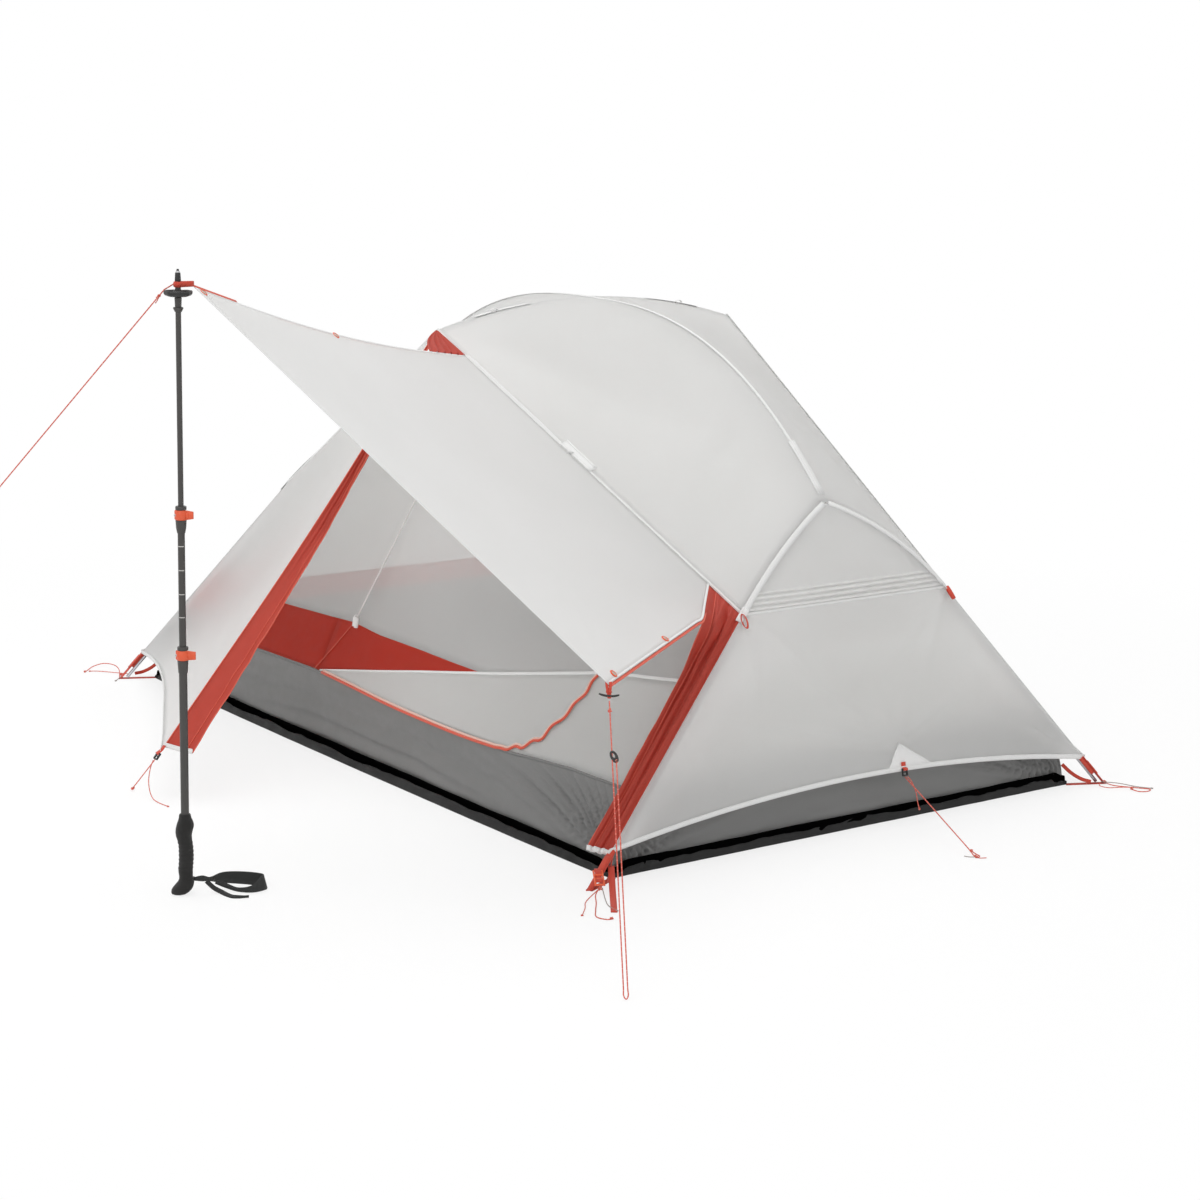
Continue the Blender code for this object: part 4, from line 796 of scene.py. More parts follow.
# The front netting is a paler, denser copy of the netting: painted light that makes up for the shade the
# awning casts on the front wall.
FRONT_NET = net_look("inner_front_netting_painted_light", colour(247, 247, 246), 0.46, 0.56)
HEM = webbing_look("hem_tape", colour(240, 240, 239), pitch=0.0010, stitch=colour(206, 205, 202), width=0.012)
SEAM = webbing_look("seam_tape", colour(236, 236, 235), pitch=0.0012, stitch=colour(208, 207, 205),
                    width=0.010)
STRAP = webbing_look("red_webbing", colour(206, 70, 50))
DARK_STRAP = webbing_look("black_webbing", colour(34, 35, 35))
ZIP = webbing_look("zip_tape", colour(222, 92, 68), pitch=0.0022, roughness=0.6)
PINK = webbing_look("zip_facing", colour(232, 196, 182), pitch=0.0014)
CORD = cord_look("red_cord", colour(222, 92, 74), fleck=colour(232, 150, 134))
PALE_CORD = cord_look("pale_cord", colour(232, 231, 229))
GREY_CORD = cord_look("grey_cord", colour(168, 158, 152))
BLACK = plastic_look("black_plastic", colour(30, 30, 30))
PALE = plastic_look("pale_plastic", colour(222, 221, 219), 0.4)
ORANGE = plastic_look("orange_plastic", colour(222, 88, 50), 0.4)
GREY = plastic_look("grommet_plastic", colour(170, 162, 150), 0.5)
POLE = tube_look("tent_pole_metal", colour(168, 168, 172), 0.85, 0.32, False)
SHAFT = tube_look("trekking_shaft", colour(60, 58, 56), 0.0, 0.38, True)
MARK = plastic_look("shaft_mark", colour(206, 204, 200), 0.5)
FOAM = foam_look("grip_foam", colour(24, 23, 22))
STEEL = steel_look("tip_metal")


def add_camera():
    """A camera at the photograph's place and angle."""
    yaw, pitch, roll = (math.radians(a) for a in (CAMERA_YAW, CAMERA_PITCH, CAMERA_ROLL))
    ahead = Vector((-math.sin(yaw) * math.cos(pitch), math.cos(yaw) * math.cos(pitch), math.sin(pitch)))
    right = ahead.cross(Vector((0, 0, 1))).normalized()
    above = right.cross(ahead)
    turned_right = right * math.cos(roll) + above * math.sin(roll)
    turned_up = above * math.cos(roll) - right * math.sin(roll)
    data = bpy.data.cameras.new("camera")
    data.lens = CAMERA_LENS
    data.sensor_width = 36
    data.clip_end = 100
    camera = bpy.data.objects.new("camera", data)
    camera.matrix_world = Matrix.Translation(CAMERA_PLACE) @ Matrix(
        (turned_right, turned_up, -ahead)).transposed().to_4x4()
    bpy.context.scene.collection.objects.link(camera)
    bpy.context.scene.camera = camera


def cord_piece(name, line, body="tent", look=None, replaces=(), radius=CORD_RADIUS):
    """A cord as a tube along its line."""
    shape = Shape()
    shape.tube(line, radius)
    return shape.make(name, look or CORD, body, replaces)


def state_cord(line, tie, length=None):
    """Work out a cord's length, unless one is given; nothing is done with it, and the piece with its knots is
    not used.
    """
    length = length or round(float(distance_along(line)[-1]), 3)


def add_cords():
    """The guylines and the cords that were let out at the stake points."""
    turn_at = float(np.linalg.norm(GUY_ANCHOR - AWNING_FREE_CORNER)) - 0.020
    flat = unit(point(GUY_DOWN[0], GUY_DOWN[1], 0))
    line = [AWNING_FREE_CORNER + GUY_DOWN * t for t in steps(14, 0.0370, turn_at)]
    middle = AWNING_FREE_CORNER + GUY_DOWN * turn_at + GUY_ACROSS * 0.004
    for degrees in (-60, -20, 20, 60):
        angle = math.radians(degrees)
        spot = middle + GUY_ACROSS * (0.0054 * math.sin(angle)) + GUY_DOWN * 0.018 * math.cos(angle)
        spot[2] = max(spot[2], FLOOR_CORD)
        line.append(spot + flat * 0.001)
    line += [AWNING_FREE_CORNER + GUY_DOWN * t + GUY_ACROSS * 0.008 for t in steps(12, turn_at, 0.1724)]
    line = laid(line, 2)
    guyline = cord_piece("side_guyline", line, None, replaces="guyline_side")
    knots = Shape()
    knots.knot(AWNING_FREE_CORNER + GUY_DOWN * 0.058, GUY_DOWN, 0.0042, 0.0013)
    knots.knot(AWNING_FREE_CORNER + GUY_DOWN * 0.170 + GUY_ACROSS * 0.008, GUY_DOWN, 0.0034, 0.0012)
    tie = knots.make("side_guyline_knots", CORD, None)
    for piece in (guyline, tie):
        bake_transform(piece)
    state_cord(line, tie)

    loop_centre = point(*POLE_PLACE, LOOP_HEIGHT)
    pull = unit(TIP_STAKE - loop_centre)
    flat = unit(point(pull[0], pull[1], 0))
    start = loop_centre + flat * 0.0094
    rim = point(*POLE_PLACE, BASKET_HEIGHT + 0.0136) + flat * 0.0285
    ahead = unit(TIP_STAKE - rim)
    run = ahead * 0.640
    line = np.array([start, lerp(start, rim, 0.5), *[rim + run * t for t in steps(18)]])
    tip_line = cord_piece("tip_guyline", line, "pole_upper", replaces="guyline_tip")
    knots = Shape()
    knots.knot(rim + run * 0.030, run, 0.0046, 0.0014)
    knots.tube(np.array([rim + run * 0.030, rim + run * 0.036 + point(-0.004, 0.003, -0.004),
                         rim + run * 0.046 + point(-0.007, 0.004, -0.006)]), 0.0010)
    end_loop = rim + run
    knots.tube(end_loop + ahead * 0.010 + circle(20, ahead * -0.010, UP * 0.006), 0.0012, closed=True)
    knots.knot(end_loop - ahead * 0.004, run, 0.0036, 0.0013)
    tie = knots.make("tip_guyline_knots", CORD, "pole_upper")
    state_cord(line, tie, length=0.667)

    add_stake_cords()

    clip = point(-0.110, -0.6100, 0.340)
    hang = point(0.1408, -0.4256, 0.9715)
    line = lerp(clip, hang, steps(16))
    line[:, 2] -= 0.006 * np.sin(np.pi * steps(16))
    cord_piece("inner_tie_line", line, look=PALE_CORD, replaces="inner_tie_cord", radius=0.0021)


def loose_tail(name, points, look=None):
    """A cord's loose end, laid or hanging where it fell."""
    line = laid(points, 5, TAIL_RADIUS + 0.0002)
    piece = cord_piece(name, line, look=look, radius=TAIL_RADIUS)
    bead = Shape()
    bead.knot(line[-1] - unit(line[-1] - line[-3]) * 0.003, line[-1] - line[-3], 0.0028, 0.0010)
    state_cord(line, bead.make(name + "_end", look or CORD))


def free_cord(name, points, node, knot_at, knot_size, forks=()):
    """A stake cord with its knots and the short forks at its end."""
    line = laid(points, 4)
    piece = cord_piece(name, line, replaces=node)
    bits = Shape()
    end_run = unit(line[-1] - line[-3])
    bits.knot(line[-1] - end_run * 0.004 + UP * 0.002, end_run, 0.0034, 0.0012)
    nearest = int(np.argmin(np.linalg.norm(line - point(*knot_at), axis=-1)))
    bits.knot(point(*knot_at), line[min(nearest + 1, len(line) - 1)] - line[max(nearest - 1, 0)], knot_size,
              0.0013)
    for look, fork in enumerate(forks):
        bits.tube(laid(fork, 5, CORD_RADIUS), 0.0010, look, sides=6)
    extra = bits.make(name + "_knots", [CORD, GREY_CORD])
    state_cord(line, extra)


def add_stake_cords():
    """Cords let out at the hem, the front stake point and three corners."""
    start = point(1.1022, 0.118, 0.1125)
    free_cord("hem_line", [*lerp(start, point(1.352, 0.0815, 0.014), steps(5)), (1.384, 0.075, FLOOR_CORD),
                           (1.381, 0.090, FLOOR_CORD), (1.365, 0.094, FLOOR_CORD),
                           (1.341, 0.102, FLOOR_CORD)],
              "hem_cord", (1.384, 0.076, 0.0042), 0.0038,
              (((1.384, 0.075, 0.003), (1.392, 0.079, 0.0020), (1.398, 0.094, 0.0016)),
               ((1.384, 0.075, 0.003), (1.374, 0.066, 0.0020), (1.362, 0.061, 0.0016))))
    loose_tail("hem_line_tail", [start + point(0.002, 0.006, 0), (1.1080, 0.134, 0.100),
                                 (1.1110, 0.146, 0.075), (1.1120, 0.152, 0.050),
                                 (1.1140, 0.158, 0.030)])
    start = point(0.0030, -1.2205, 0.0915)
    free_cord("stake_line_front", [*lerp(start, point(-0.074, -1.242, 0.006), steps(5)),
                                   (-0.080, -1.240, FLOOR_CORD), (-0.086, -1.236, FLOOR_CORD)],
              "stake_cord_front", (-0.072, -1.241, 0.0072), 0.0036)
    loose_tail("stake_line_front_tail", [start + point(-0.002, -0.004, -0.002), (-0.006, -1.228, 0.070),
                                         (-0.008, -1.232, 0.044), (-0.004, -1.233, 0.022),
                                         (0.010, -1.234, 0.006), (0.032, -1.236, 0.0014),
                                         (0.060, -1.236, 0.0014), (0.092, -1.232, 0.0014)])
    start = point(1.1090, 0.7760, 0.0021)
    free_cord("stake_line_back_right", [start, (1.150, 0.766, 0.005), (1.185, 0.800, 0.003),
                                        (1.2120, 0.8250, FLOOR_CORD), (1.2220, 0.8060, FLOOR_CORD),
                                        (1.2120, 0.7870, FLOOR_CORD), (1.190, 0.780, 0.004)],
              "stake_cord_back_right", (1.115, 0.770, 0.0060), 0.0050)
    loose_tail("stake_line_back_right_tail", [(1.112, 0.762, 0.006), (1.150, 0.783, 0.0080),
                                              (1.180, 0.815, 0.0018), (1.211, 0.838, 0.0015)], GREY_CORD)
    loose_tail("stake_line_back_right_loop", [(1.116, 0.754, 0.006), (1.136, 0.732, 0.006),
                                              (1.160, 0.738, 0.006), (1.178, 0.762, 0.008),
                                              (1.194, 0.788, 0.0075)])
    free_cord("stake_line_front_left", [flip(start, -1, -1), (-1.170, -0.748, 0.010), (-1.215, -0.742, 0.014),
                                        (-1.262, -0.752, 0.010), (-1.268, -0.780, 0.004),
                                        (-1.246, -0.806, FLOOR_CORD), (-1.222, -0.828, FLOOR_CORD)],
              "stake_cord_front_left", (-1.126, -0.762, 0.0070), 0.0050)
    loose_tail("stake_line_front_left_tail", [(-1.128, -0.742, 0.006), (-1.180, -0.766, 0.0030),
                                              (-1.216, -0.790, 0.0018), (-1.230, -0.812, 0.0015)])
    loose_tail("stake_line_front_left_end", [(-1.118, -0.760, 0.006), (-1.104, -0.780, 0.0030),
                                             (-1.085, -0.800, 0.0018)], GREY_CORD)
    free_cord("stake_line_front_right", [(1.1434, -0.7711, 0.0182), (1.163, -0.797, 0.010),
                                         (1.190, -0.815, 0.003), (1.225, -0.842, FLOOR_CORD),
                                         (1.258, -0.864, FLOOR_CORD), (1.282, -0.856, FLOOR_CORD),
                                         (1.286, -0.842, FLOOR_CORD)],
              "stake_cord_front_right", (1.1500, -0.7760, 0.0160), 0.0050)
    loose_tail("stake_line_front_right_tail", [(1.1490, -0.7700, 0.016), (1.185, -0.788, 0.004),
                                               (1.216, -0.802, 0.0018), (1.252, -0.806, 0.0015)], GREY_CORD)
    loose_tail("stake_line_front_right_end", [(1.1460, -0.7770, 0.014), (1.170, -0.826, 0.003),
                                              (1.202, -0.852, 0.0018), (1.236, -0.884, 0.0015)])


FAN_CREASES = ((0.29, 0.020, 0.016), (0.36, 0.018, 0.020), (0.46, 0.022, 0.014), (0.55, 0.022, 0.022),
               (0.66, 0.026, 0.016), (0.78, 0.028, 0.020), (0.92, 0.032, 0.022), (1.05, 0.032, 0.016),
               (1.18, 0.034, 0.022), (1.30, 0.034, 0.016), (1.42, 0.034, 0.014))


def tray_ring(per_side):
    """Places round a square from -1 to 1, closer together towards its corners."""
    side = np.sin(steps(per_side, -0.5, 0.5) * math.pi)[:-1]
    one = side * 0 + 1
    pairs = (side, -one), (one, side), (-side, one), (-one, -side)
    return np.concatenate([np.stack(pair, -1) for pair in pairs])


def kept_inside(rows, margin):
    """Points kept inside the groundsheet's outline."""
    limit = np.array(GROUND_HALF) - margin
    rows[..., :2] = np.clip(rows[..., :2], -limit, limit)
    return rows


def add_groundsheet():
    """Groundsheet with a crumpled, turned-up edge, and a near-black strip of painted shade in the gap between
    that edge and the tub.
    """
    shares = tray_ring(110)
    near = np.minimum(np.abs(shares[:, 0]), np.abs(shares[:, 1]))
    half = np.array(GROUND_HALF)
    rows = []
    for size in (0.02, 0.3, 0.6, 0.85, 0.96, 0.995):
        rows.append(np.column_stack([shares * half * size, np.full(len(shares), CLOTH / 2 + 0.0002)]))
    place = np.arange(len(shares)) / len(shares) * 110
    for up in (0.06, 0.2, 0.4, 0.6, 0.8, 1.0):
        flat = shares * (half - 0.0004 - 0.0016 * up ** 2)
        ripple = 0.0034 * up * crumple(place * 3.0, up * 1.5, 5, 2)
        taper = 1 - 0.55 * smooth_step(0.90, 1.0, near)
        wave = 0.0034 * up * crumple(place * 1.7, 3.0, 9, 2) * (1 - near ** 20)
        height = 0.62 * GROUND_RIM * up * taper + wave
        rows.append(np.column_stack([flat - np.sign(shares) * (np.abs(shares) > 0.999) * ripple[:, None],
                                     np.maximum(height, CLOTH / 2 + 0.0002)]))
    rows = kept_inside(np.array(rows), 0.0003)
    front = np.clip(-shares[:, 1], 0, 1) ** 30
    bow = GROUND_BOW * front * np.sqrt(np.clip(1 - shares[:, 0] ** 2, 0, 1))
    out = np.array([0, 0, 0, 0.4, 0.8, 1, 1, 0.95, 0.88, 0.80, 0.72, 0.64])
    rows[..., 1] -= out[:, None] * bow[None]
    crease = 0.0028 * lattice(place * 2.6, 4.0, 41) + 0.0016 * lattice(place * 7.0, 2.0, 43)
    rows[7:11, :, 1] += (crease * front)[None] * np.array([0.5, 1.0, 1.0, 0.5])[:, None]
    sheet("groundsheet_tray", rows, GROUND, "groundsheet", wrap=True)
    # A near-black strip of painted shadow that stands in the gap between the turned-up edge and the tub.
    inner = []
    for lean, height in ((0.0028, 0.0060), (0.0034, 0.018), (0.0040, 0.029), (0.0052, GROUND_RIM)):
        rise = height * (1 - 0.35 * smooth_step(0.95, 1.0, near)) + 0.0012 * lattice(place, height * 90, 13)
        inner.append(np.column_stack([shares * (half - lean), rise]))
    gap_shade = Shape()
    gap_shade.cloth(inner, INNER_CLOTH, wrap=True)
    gap_shade.make("groundsheet_painted_shadow_strip", SHADE)


def add_tub():
    """The grey tub with fans of creases at its corners and long folds between them."""
    shares = tray_ring(170)
    base = shares * np.array(TUB_HALF)
    top = tub_edge(shares[:, 0], shares[:, 1], TUB_HEIGHT)
    rows = []
    for size in (0.02, 0.25, 0.5, 0.75, 0.9, 0.97):
        flat = base * size
        uneven = 0.0012 * (1 + crumple(flat[:, 0] * 7, flat[:, 1] * 7, 21)) * (1 - size) ** 0.3
        rows.append(np.column_stack([flat, TUB_BASE + 0.0006 + uneven]))
    low = np.column_stack([base, np.full(len(base), TUB_BASE + 0.0006)])
    side_x, side_y = np.abs(shares).T
    near = np.minimum(side_x, side_y)
    on_length = side_y > 0.999
    along = np.where(on_length, (1 - side_x) * TUB_HALF[0], (1 - side_y) * TUB_HALF[1])
    outward = shares * np.column_stack([~on_length, on_length])
    for up in steps(26):
        lift = up ** (1 + 1.3 * near ** 10)
        place = low + (top - low) * np.column_stack([lift, lift, np.full(len(low), up)])
        angle = np.arctan2(up * TUB_HEIGHT, along + 0.004)
        rise = math.sin(math.pi * min(1.0, 0.06 + up * 0.94)) ** 0.6
        swell = np.exp(-along / 0.42) * (1 - np.exp(-along / 0.015)) * rise
        pleat = 0.0040 * np.cos(23 * angle + 3 * lattice(angle * 2, 2.0, 27)) * swell
        for turn, thin, deep in FAN_CREASES:
            pleat = pleat - deep * np.exp(-((angle - turn - 0.05 * up * (1 - up)) / thin) ** 2) * swell
        drag = 0.0030 * crumple(along * 6 + 3, up * 2.4 - along * 2, 31) * rise
        sweep = up * TUB_HEIGHT / 0.030 + 1.6 * lattice(along * 2.2, 5.0, 3)
        ridge = 1 - np.abs(np.sin(sweep * 1.7)) ** 0.6
        long_fold = -0.0100 * ridge * rise * smooth_step(0.25, 0.8, along) * (1 - 0.5 * up)
        hollow = -0.006 * math.sin(math.pi * up) * (1 - near ** 4)
        place[:, :2] += outward * (pleat + drag + long_fold + hollow)[:, None]
        rows.append(place)
    rows = kept_inside(np.array(rows), 0.0040)
    sheet("bathtub", rows, TUB, "bathtub_floor", wrap=True)
    binding = Shape()
    binding.band(np.concatenate([top, top[:1]]) + UP * 0.0005, UP, 0.006, 0.0022)
    binding.make("tub_seam", TUB)


TAPE_LINE = ((-0.222, 0.190), (0.197, 0.265), (0.465, 0.308), (0.731, 0.354), (0.806, 0.363), (0.930, 0.366),
             (1.1, 0.368))
RED_LINE = ((-1.0, 0.280), (-0.53, 0.297), (-0.37, 0.307), (-0.138, 0.322), (0.169, 0.311), (0.289, 0.305),
            (0.420, 0.300), (1.0, 0.290))
DOOR_EDGE = -0.222
CLIP_AT = (-0.119, 0.325)


def tape_height(x):
    """Height of the white tape across the front inner wall."""
    return np.interp(x, *zip(*TAPE_LINE))


def red_height(x):
    """Height of the red band's upper edge on the front inner wall."""
    return np.interp(x, *zip(*RED_LINE))


def front_zone(low, high, shares, count, swell=0.0, pitch=(1, 1), seed=0):
    """Rows of the front inner wall between two lines of heights; swell ruffles it between them."""
    rows = np.array([inner_front(shares, low + (high - low) * t) for t in steps(count)])
    if swell:
        ruffle = crumple(rows[..., 0] * pitch[0], rows[..., 2] * pitch[1], seed)
        rows += normals_of(rows) * (swell * ruffle * np.sin(np.pi * steps(count))[:, None])[..., None]
    return rows


def share_at(x, height):
    """Where along the front inner wall a point at this X and height lies."""
    share = x / TUB_TOP[0]
    for _ in range(14):
        up = inner_up(np.array([share]), lambda value: value * 0 + height)
        share = min(0.999, share + (x - inner_front(np.array([share]), up)[0, 0]) / TUB_TOP[0])
    return share


def wall_spot(x, height, off=0.0):
    """A point of the front inner wall at this X and height, moved outwards."""
    share = share_at(x, height)
    low, high = tub_edge(share, -1, INNER_BASE), eave_line(np.array([share]))[0]
    up = (height - low[2]) / (high[2] - low[2])
    spot = low + (high - low) * up
    across = tub_edge(share + 0.01, -1, INNER_BASE) - tub_edge(share - 0.01, -1, INNER_BASE)
    across[2] = 0
    normal = unit(np.cross(across, high - low))
    if normal[1] > 0:
        normal = -normal
    return spot + normal * off, normal


def add_inner_tent():
    """Inner tent: netting walls and roof, the red and pale bands, and the pale door cloth."""
    door = share_at(DOOR_EDGE, 0.190)
    red_end = share_at(0.420, 0.300)

    def red_up(shares):
        return inner_up(shares, red_height)

    def tape_up(shares):
        return inner_up(shares, tape_height)

    left = steps(30, -1, door)
    middle = steps(26, door, red_end)
    lower = np.concatenate([middle, steps(24, red_end, 1)[1:]])
    whole = np.concatenate([left, lower[1:]])
    rows = front_zone(0.0, red_up(left), left, 10)
    calm = smooth_step(0.0, 0.15, door - left)[None, :, None]
    rows += normals_of(rows) * (0.0022 * crumple(rows[..., 0] * 5, rows[..., 2] * 9, 3))[..., None] * calm
    sheet("inner_front_red_left", rows, RED, "inner_wall_front")
    rows = front_zone(np.minimum(tape_up(middle), red_up(middle)), red_up(middle), middle, 10)
    sheet("inner_front_red_right", rows, RED)
    rows = front_zone(0.0, tape_up(lower), lower, 12, 0.004, (3.1, 7), 8)
    sheet("inner_door_cloth", rows, LINING, "inner_door")
    above = np.where(whole > red_end, tape_up(whole), red_up(whole))
    rows = front_zone(above, 1.0, whole, 30, 0.006, (2.3, 3), 12)
    sheet("inner_front_net", rows, FRONT_NET, thickness=NET_CLOTH)

    spread = steps(80, -1, 1)
    high = red_up(spread)
    sheet("inner_back_red", flip(front_zone(0.0, high, spread, 8), 1, -1), RED)
    sheet("inner_back_net", flip(front_zone(high, 1.0, spread, 30), 1, -1), NET,
          "inner_wall_back", NET_CLOTH)

    across = np.sin(steps(36, -0.5, 0.5) * math.pi)
    for side, name, band_look, band_top in ((1, "right", LINING, 0.43), (-1, "left", RED, 0.13)):
        foot = tub_edge(side, across, INNER_BASE)
        eave = across[:, None] * point(0, INNER_HUB[1], 0) + point(side * INNER_HUB[0], 0, INNER_HUB[2])
        for low, high, look, label in ((0.0, band_top, band_look, "band"), (band_top, 1.0, NET, "net")):
            rows = np.array([lerp(foot, eave, low + (high - low) * t) for t in steps(16)])
            sheet(f"inner_{name}_{label}", rows, look,
                  f"inner_wall_{name}" if label == "net" else (), NET_CLOTH)

    front = eave_line(steps(60, -1, 1))
    back = flip(front, 1, -1)
    crown = ridge_line(steps(60, -1, 1) * INNER_HUB[0]) - UP * INNER_RIDGE_DROP
    control = 2 * crown - 0.5 * (front + back)
    rows = np.array([(1 - v) ** 2 * front + 2 * (1 - v) * v * control + v * v * back for v in steps(30)])
    sheet("inner_roof_net", rows, NET, "inner_roof", NET_CLOTH)


def add_inner_tapes():
    """Tapes, edge bindings and the red seam of the inner tent."""
    tapes = Shape()
    shares = steps(60, share_at(-0.218, 0.191), 0.999)
    line = inner_front(shares, inner_up(shares, tape_height))
    tapes.band(line, UP, np.interp(steps(60), (0, 0.3, 0.6, 1), (0.004, 0.007, 0.012, 0.013)), TAPE)
    short = [wall_spot(0.930 - 0.012 * t, 0.372 + 0.080 * t, 0.001)[0] for t in steps(6)]
    tapes.band(short, point(0.9, 0.4, 0), 0.011, TAPE)
    tapes.make("inner_tapes", SEAM)
    edges = Shape()
    for side_y in (1, -1):
        edges.band(flip(eave_line(steps(60, -0.998, 0.998)), 1, side_y), UP, 0.010, TAPE)
    for side in (-1, 1):
        for side_y in (1, -1):
            corner = flip(inner_front(0.999, steps(19)), side, side_y)
            edges.band(corner, point(0, 1, 0), 0.010, TAPE)
    edges.make("inner_edge_tapes", SEAM)
    seam = Shape()
    seam.tube([wall_spot(-0.240 + 0.104 * t, 0.190 + 0.131 * t, 0.0020)[0] for t in steps(8)], 0.0015,
              sides=6)
    seam.make("inner_red_seam", ZIP)


ZIP_ROUTE = ((-0.202, 0.187), (-0.05, 0.180), (0.111, 0.1715), (0.26, 0.168), (0.420, 0.1665), (0.518, 0.168),
             (0.581, 0.170), (0.613, 0.174), (0.6365, 0.180), (0.669, 0.192), (0.703, 0.211), (0.7135, 0.229),
             (0.724, 0.246), (0.733, 0.265), (0.741, 0.283), (0.744, 0.306), (0.749, 0.329), (0.750, 0.352))


def add_door_zip():
    """The inner door's zip, which turns up in small waves, and the clip on the wall."""
    flat = through([(x, z, 0) for x, z in ZIP_ROUTE], 5)
    ahead = unit(np.gradient(flat, axis=0))
    wave = 0.0044 * np.sin(distance_along(flat) * math.tau / 0.052) * smooth_step(0.56, 0.68, flat[:, 0])
    flat[:, 0] -= ahead[:, 1] * wave
    flat[:, 1] += ahead[:, 0] * wave
    spots, normals = (np.array(found) for found in zip(*[wall_spot(x, z, 0.0040) for x, z in flat[:, :2]]))
    across = np.cross(normals, unit(np.gradient(spots, axis=0)))
    zipper = Shape()
    zipper.band(spots, across, 0.0066, 0.0020)
    zipper.tube(spots + normals * 0.0012, 0.0018)
    above = across * np.sign(across @ UP + 0.6 * across @ point(-1, 0, 0))[:, None]
    zipper.band(spots + above * 0.0058 - normals * 0.0006, across, 0.0060, 0.0012, look=1)
    zipper.make("inner_door_zip", [ZIP, PINK], replaces="door_zip")

    clip_at, outward = wall_spot(*CLIP_AT, 0.008)
    outward = unit(outward + point(0.9, -0.1, 0.1))
    side = unit(np.cross(UP, outward))
    rise = np.cross(outward, side)
    clip = Shape()
    clip.block(clip_at, (side, rise, outward), (0.015, 0.024, 0.005))
    clip.block(clip_at - rise * 0.010 + side * 0.002, (side, rise, outward), (0.010, 0.012, 0.0068))
    ring = clip_at + rise * 0.012 + outward * 0.001 + circle(20, side * 0.0045, rise * 0.0045)
    clip.tube(ring, 0.0013, closed=True, sides=6)
    clip.make("inner_wall_clip", PALE, replaces="inner_clip")


CANOPY_FOLDS = (((0.10, 0.40, 1.04), (0.62, 0.19, 0.95), 0.0050),
                ((0.12, 0.42, 1.02), (0.60, 0.24, 0.92), -0.0044),
                ((0.15, 0.42, 1.00), (0.66, 0.29, 0.86), 0.0044),
                ((0.14, 0.42, 1.00), (0.58, 0.33, 0.87), 0.0034),
                ((0.55, 0.05, 1.01), (0.62, 0.30, 0.83), 0.0034),
                ((0.60, 0.04, 0.98), (0.68, 0.30, 0.79), -0.0044),
                ((0.64, 0.04, 0.95), (0.73, 0.30, 0.76), 0.0050),
                ((0.69, 0.04, 0.93), (0.78, 0.28, 0.72), -0.0046),
                ((0.74, 0.05, 0.88), (0.84, 0.27, 0.68), 0.0046),
                ((0.80, 0.06, 0.82), (0.91, 0.27, 0.63), -0.0036))


def canopy_rows():
    """The canopy over the poles, both sides of the ridge, as one grid."""
    across, along = steps(44), steps(30)
    quarter = coons(lambda u: ridge_line(u * HUB[0]), lambda u: lerp(TIP, KNEE, u), spreader_line, leg_line,
                    across, along)
    right = np.concatenate([flip(quarter[:0:-1], 1, -1), quarter])
    return np.concatenate([flip(right[:, :0:-1], -1, 1), right], axis=1)


def add_canopy():
    """Canopy cloth with its drag folds, then the tapes along the poles' lines."""
    rows = canopy_rows()
    normal = normals_of(rows)
    normal *= np.sign(normal[..., 2:3])
    high, wide = rows.shape[:2]
    v = np.abs(steps(high - 1, -1, 1))[:, None]
    u = np.abs(steps(wide - 1, -1, 1))[None, :]
    hold = np.sin(np.pi * np.clip(v, 0, 1)) ** 0.6 * np.clip((1 - u) * 6, 0, 1) * np.clip(u * 5 + 0.25, 0, 1)
    push = 0.0030 * crumple(rows[..., 0] * 2.1, rows[..., 1] * 3.3, 41, 2) * hold
    for quarter in QUARTERS:
        for start, end, size in CANOPY_FOLDS:
            line = flip([start, end], *quarter)
            push = push + fold(rows, *line, 0.013, size, ends=(0.3, 0.4)) * np.clip(hold * 2, 0, 1)
    sag = -0.010 * np.sin(np.pi * u) * np.sin(np.pi * np.clip(v, 0, 1))
    rows = rows + normal * (push + sag)[..., None]
    sheet("canopy", rows, FLY, ("fly_front", "fly_back"), CLOTH)
    trim = Shape()
    back = point(0, 1, 0)
    trim.band(ridge_line(steps(80, -0.985, 0.985) * HUB[0]) + UP * 0.0006, back, 0.011, 0.0016)
    for side_y in (1, -1):
        edge = flip(lerp(TIP, KNEE, steps(40)), 1, side_y)
        for side_x in (1, -1):
            trim.band(flip(edge, side_x) + point(0, side_y * 0.0004, 0.0012),
                      point(side_x * 0.5, -side_y * 0.5, 0.75), 0.007, TAPE)
    for side_x, side_y in QUARTERS:
        leg = flip(leg_line(steps(30, 0.02, 0.99)), side_x, side_y)
        trim.band(leg + point(side_x, 0, 0.6) * 0.0008, point(-side_x * 0.55, side_y * 0.55, 0.6), 0.013,
                  0.0016)
    patch = ridge_line(steps(6, 0.865, 0.985) * HUB[0]) + UP * 0.0016
    for side_x in (1, -1):
        trim.band(flip(patch, side_x), back, 0.020, 0.0018)
    trim.make("canopy_tapes", SEAM)
    loops = Shape()
    aside = point(1, 0, 0)
    for side_y in (1, -1):
        picks = [high // 2 + side_y * k for k in range(12, 24)]
        plate = rows[picks, wide // 2] + normal[picks, wide // 2] * 0.0006
        loops.band(plate, aside, 0.015, 0.0005)
        arch = [plate[7] + point(0, side_y * (0.010 * math.cos(turn)), 0.006 * math.sin(turn))
                for turn in steps(8, 0, math.pi)]
        loops.band(arch, aside, 0.008, 0.0008)
    loops.make("canopy_guy_patches", SEAM)


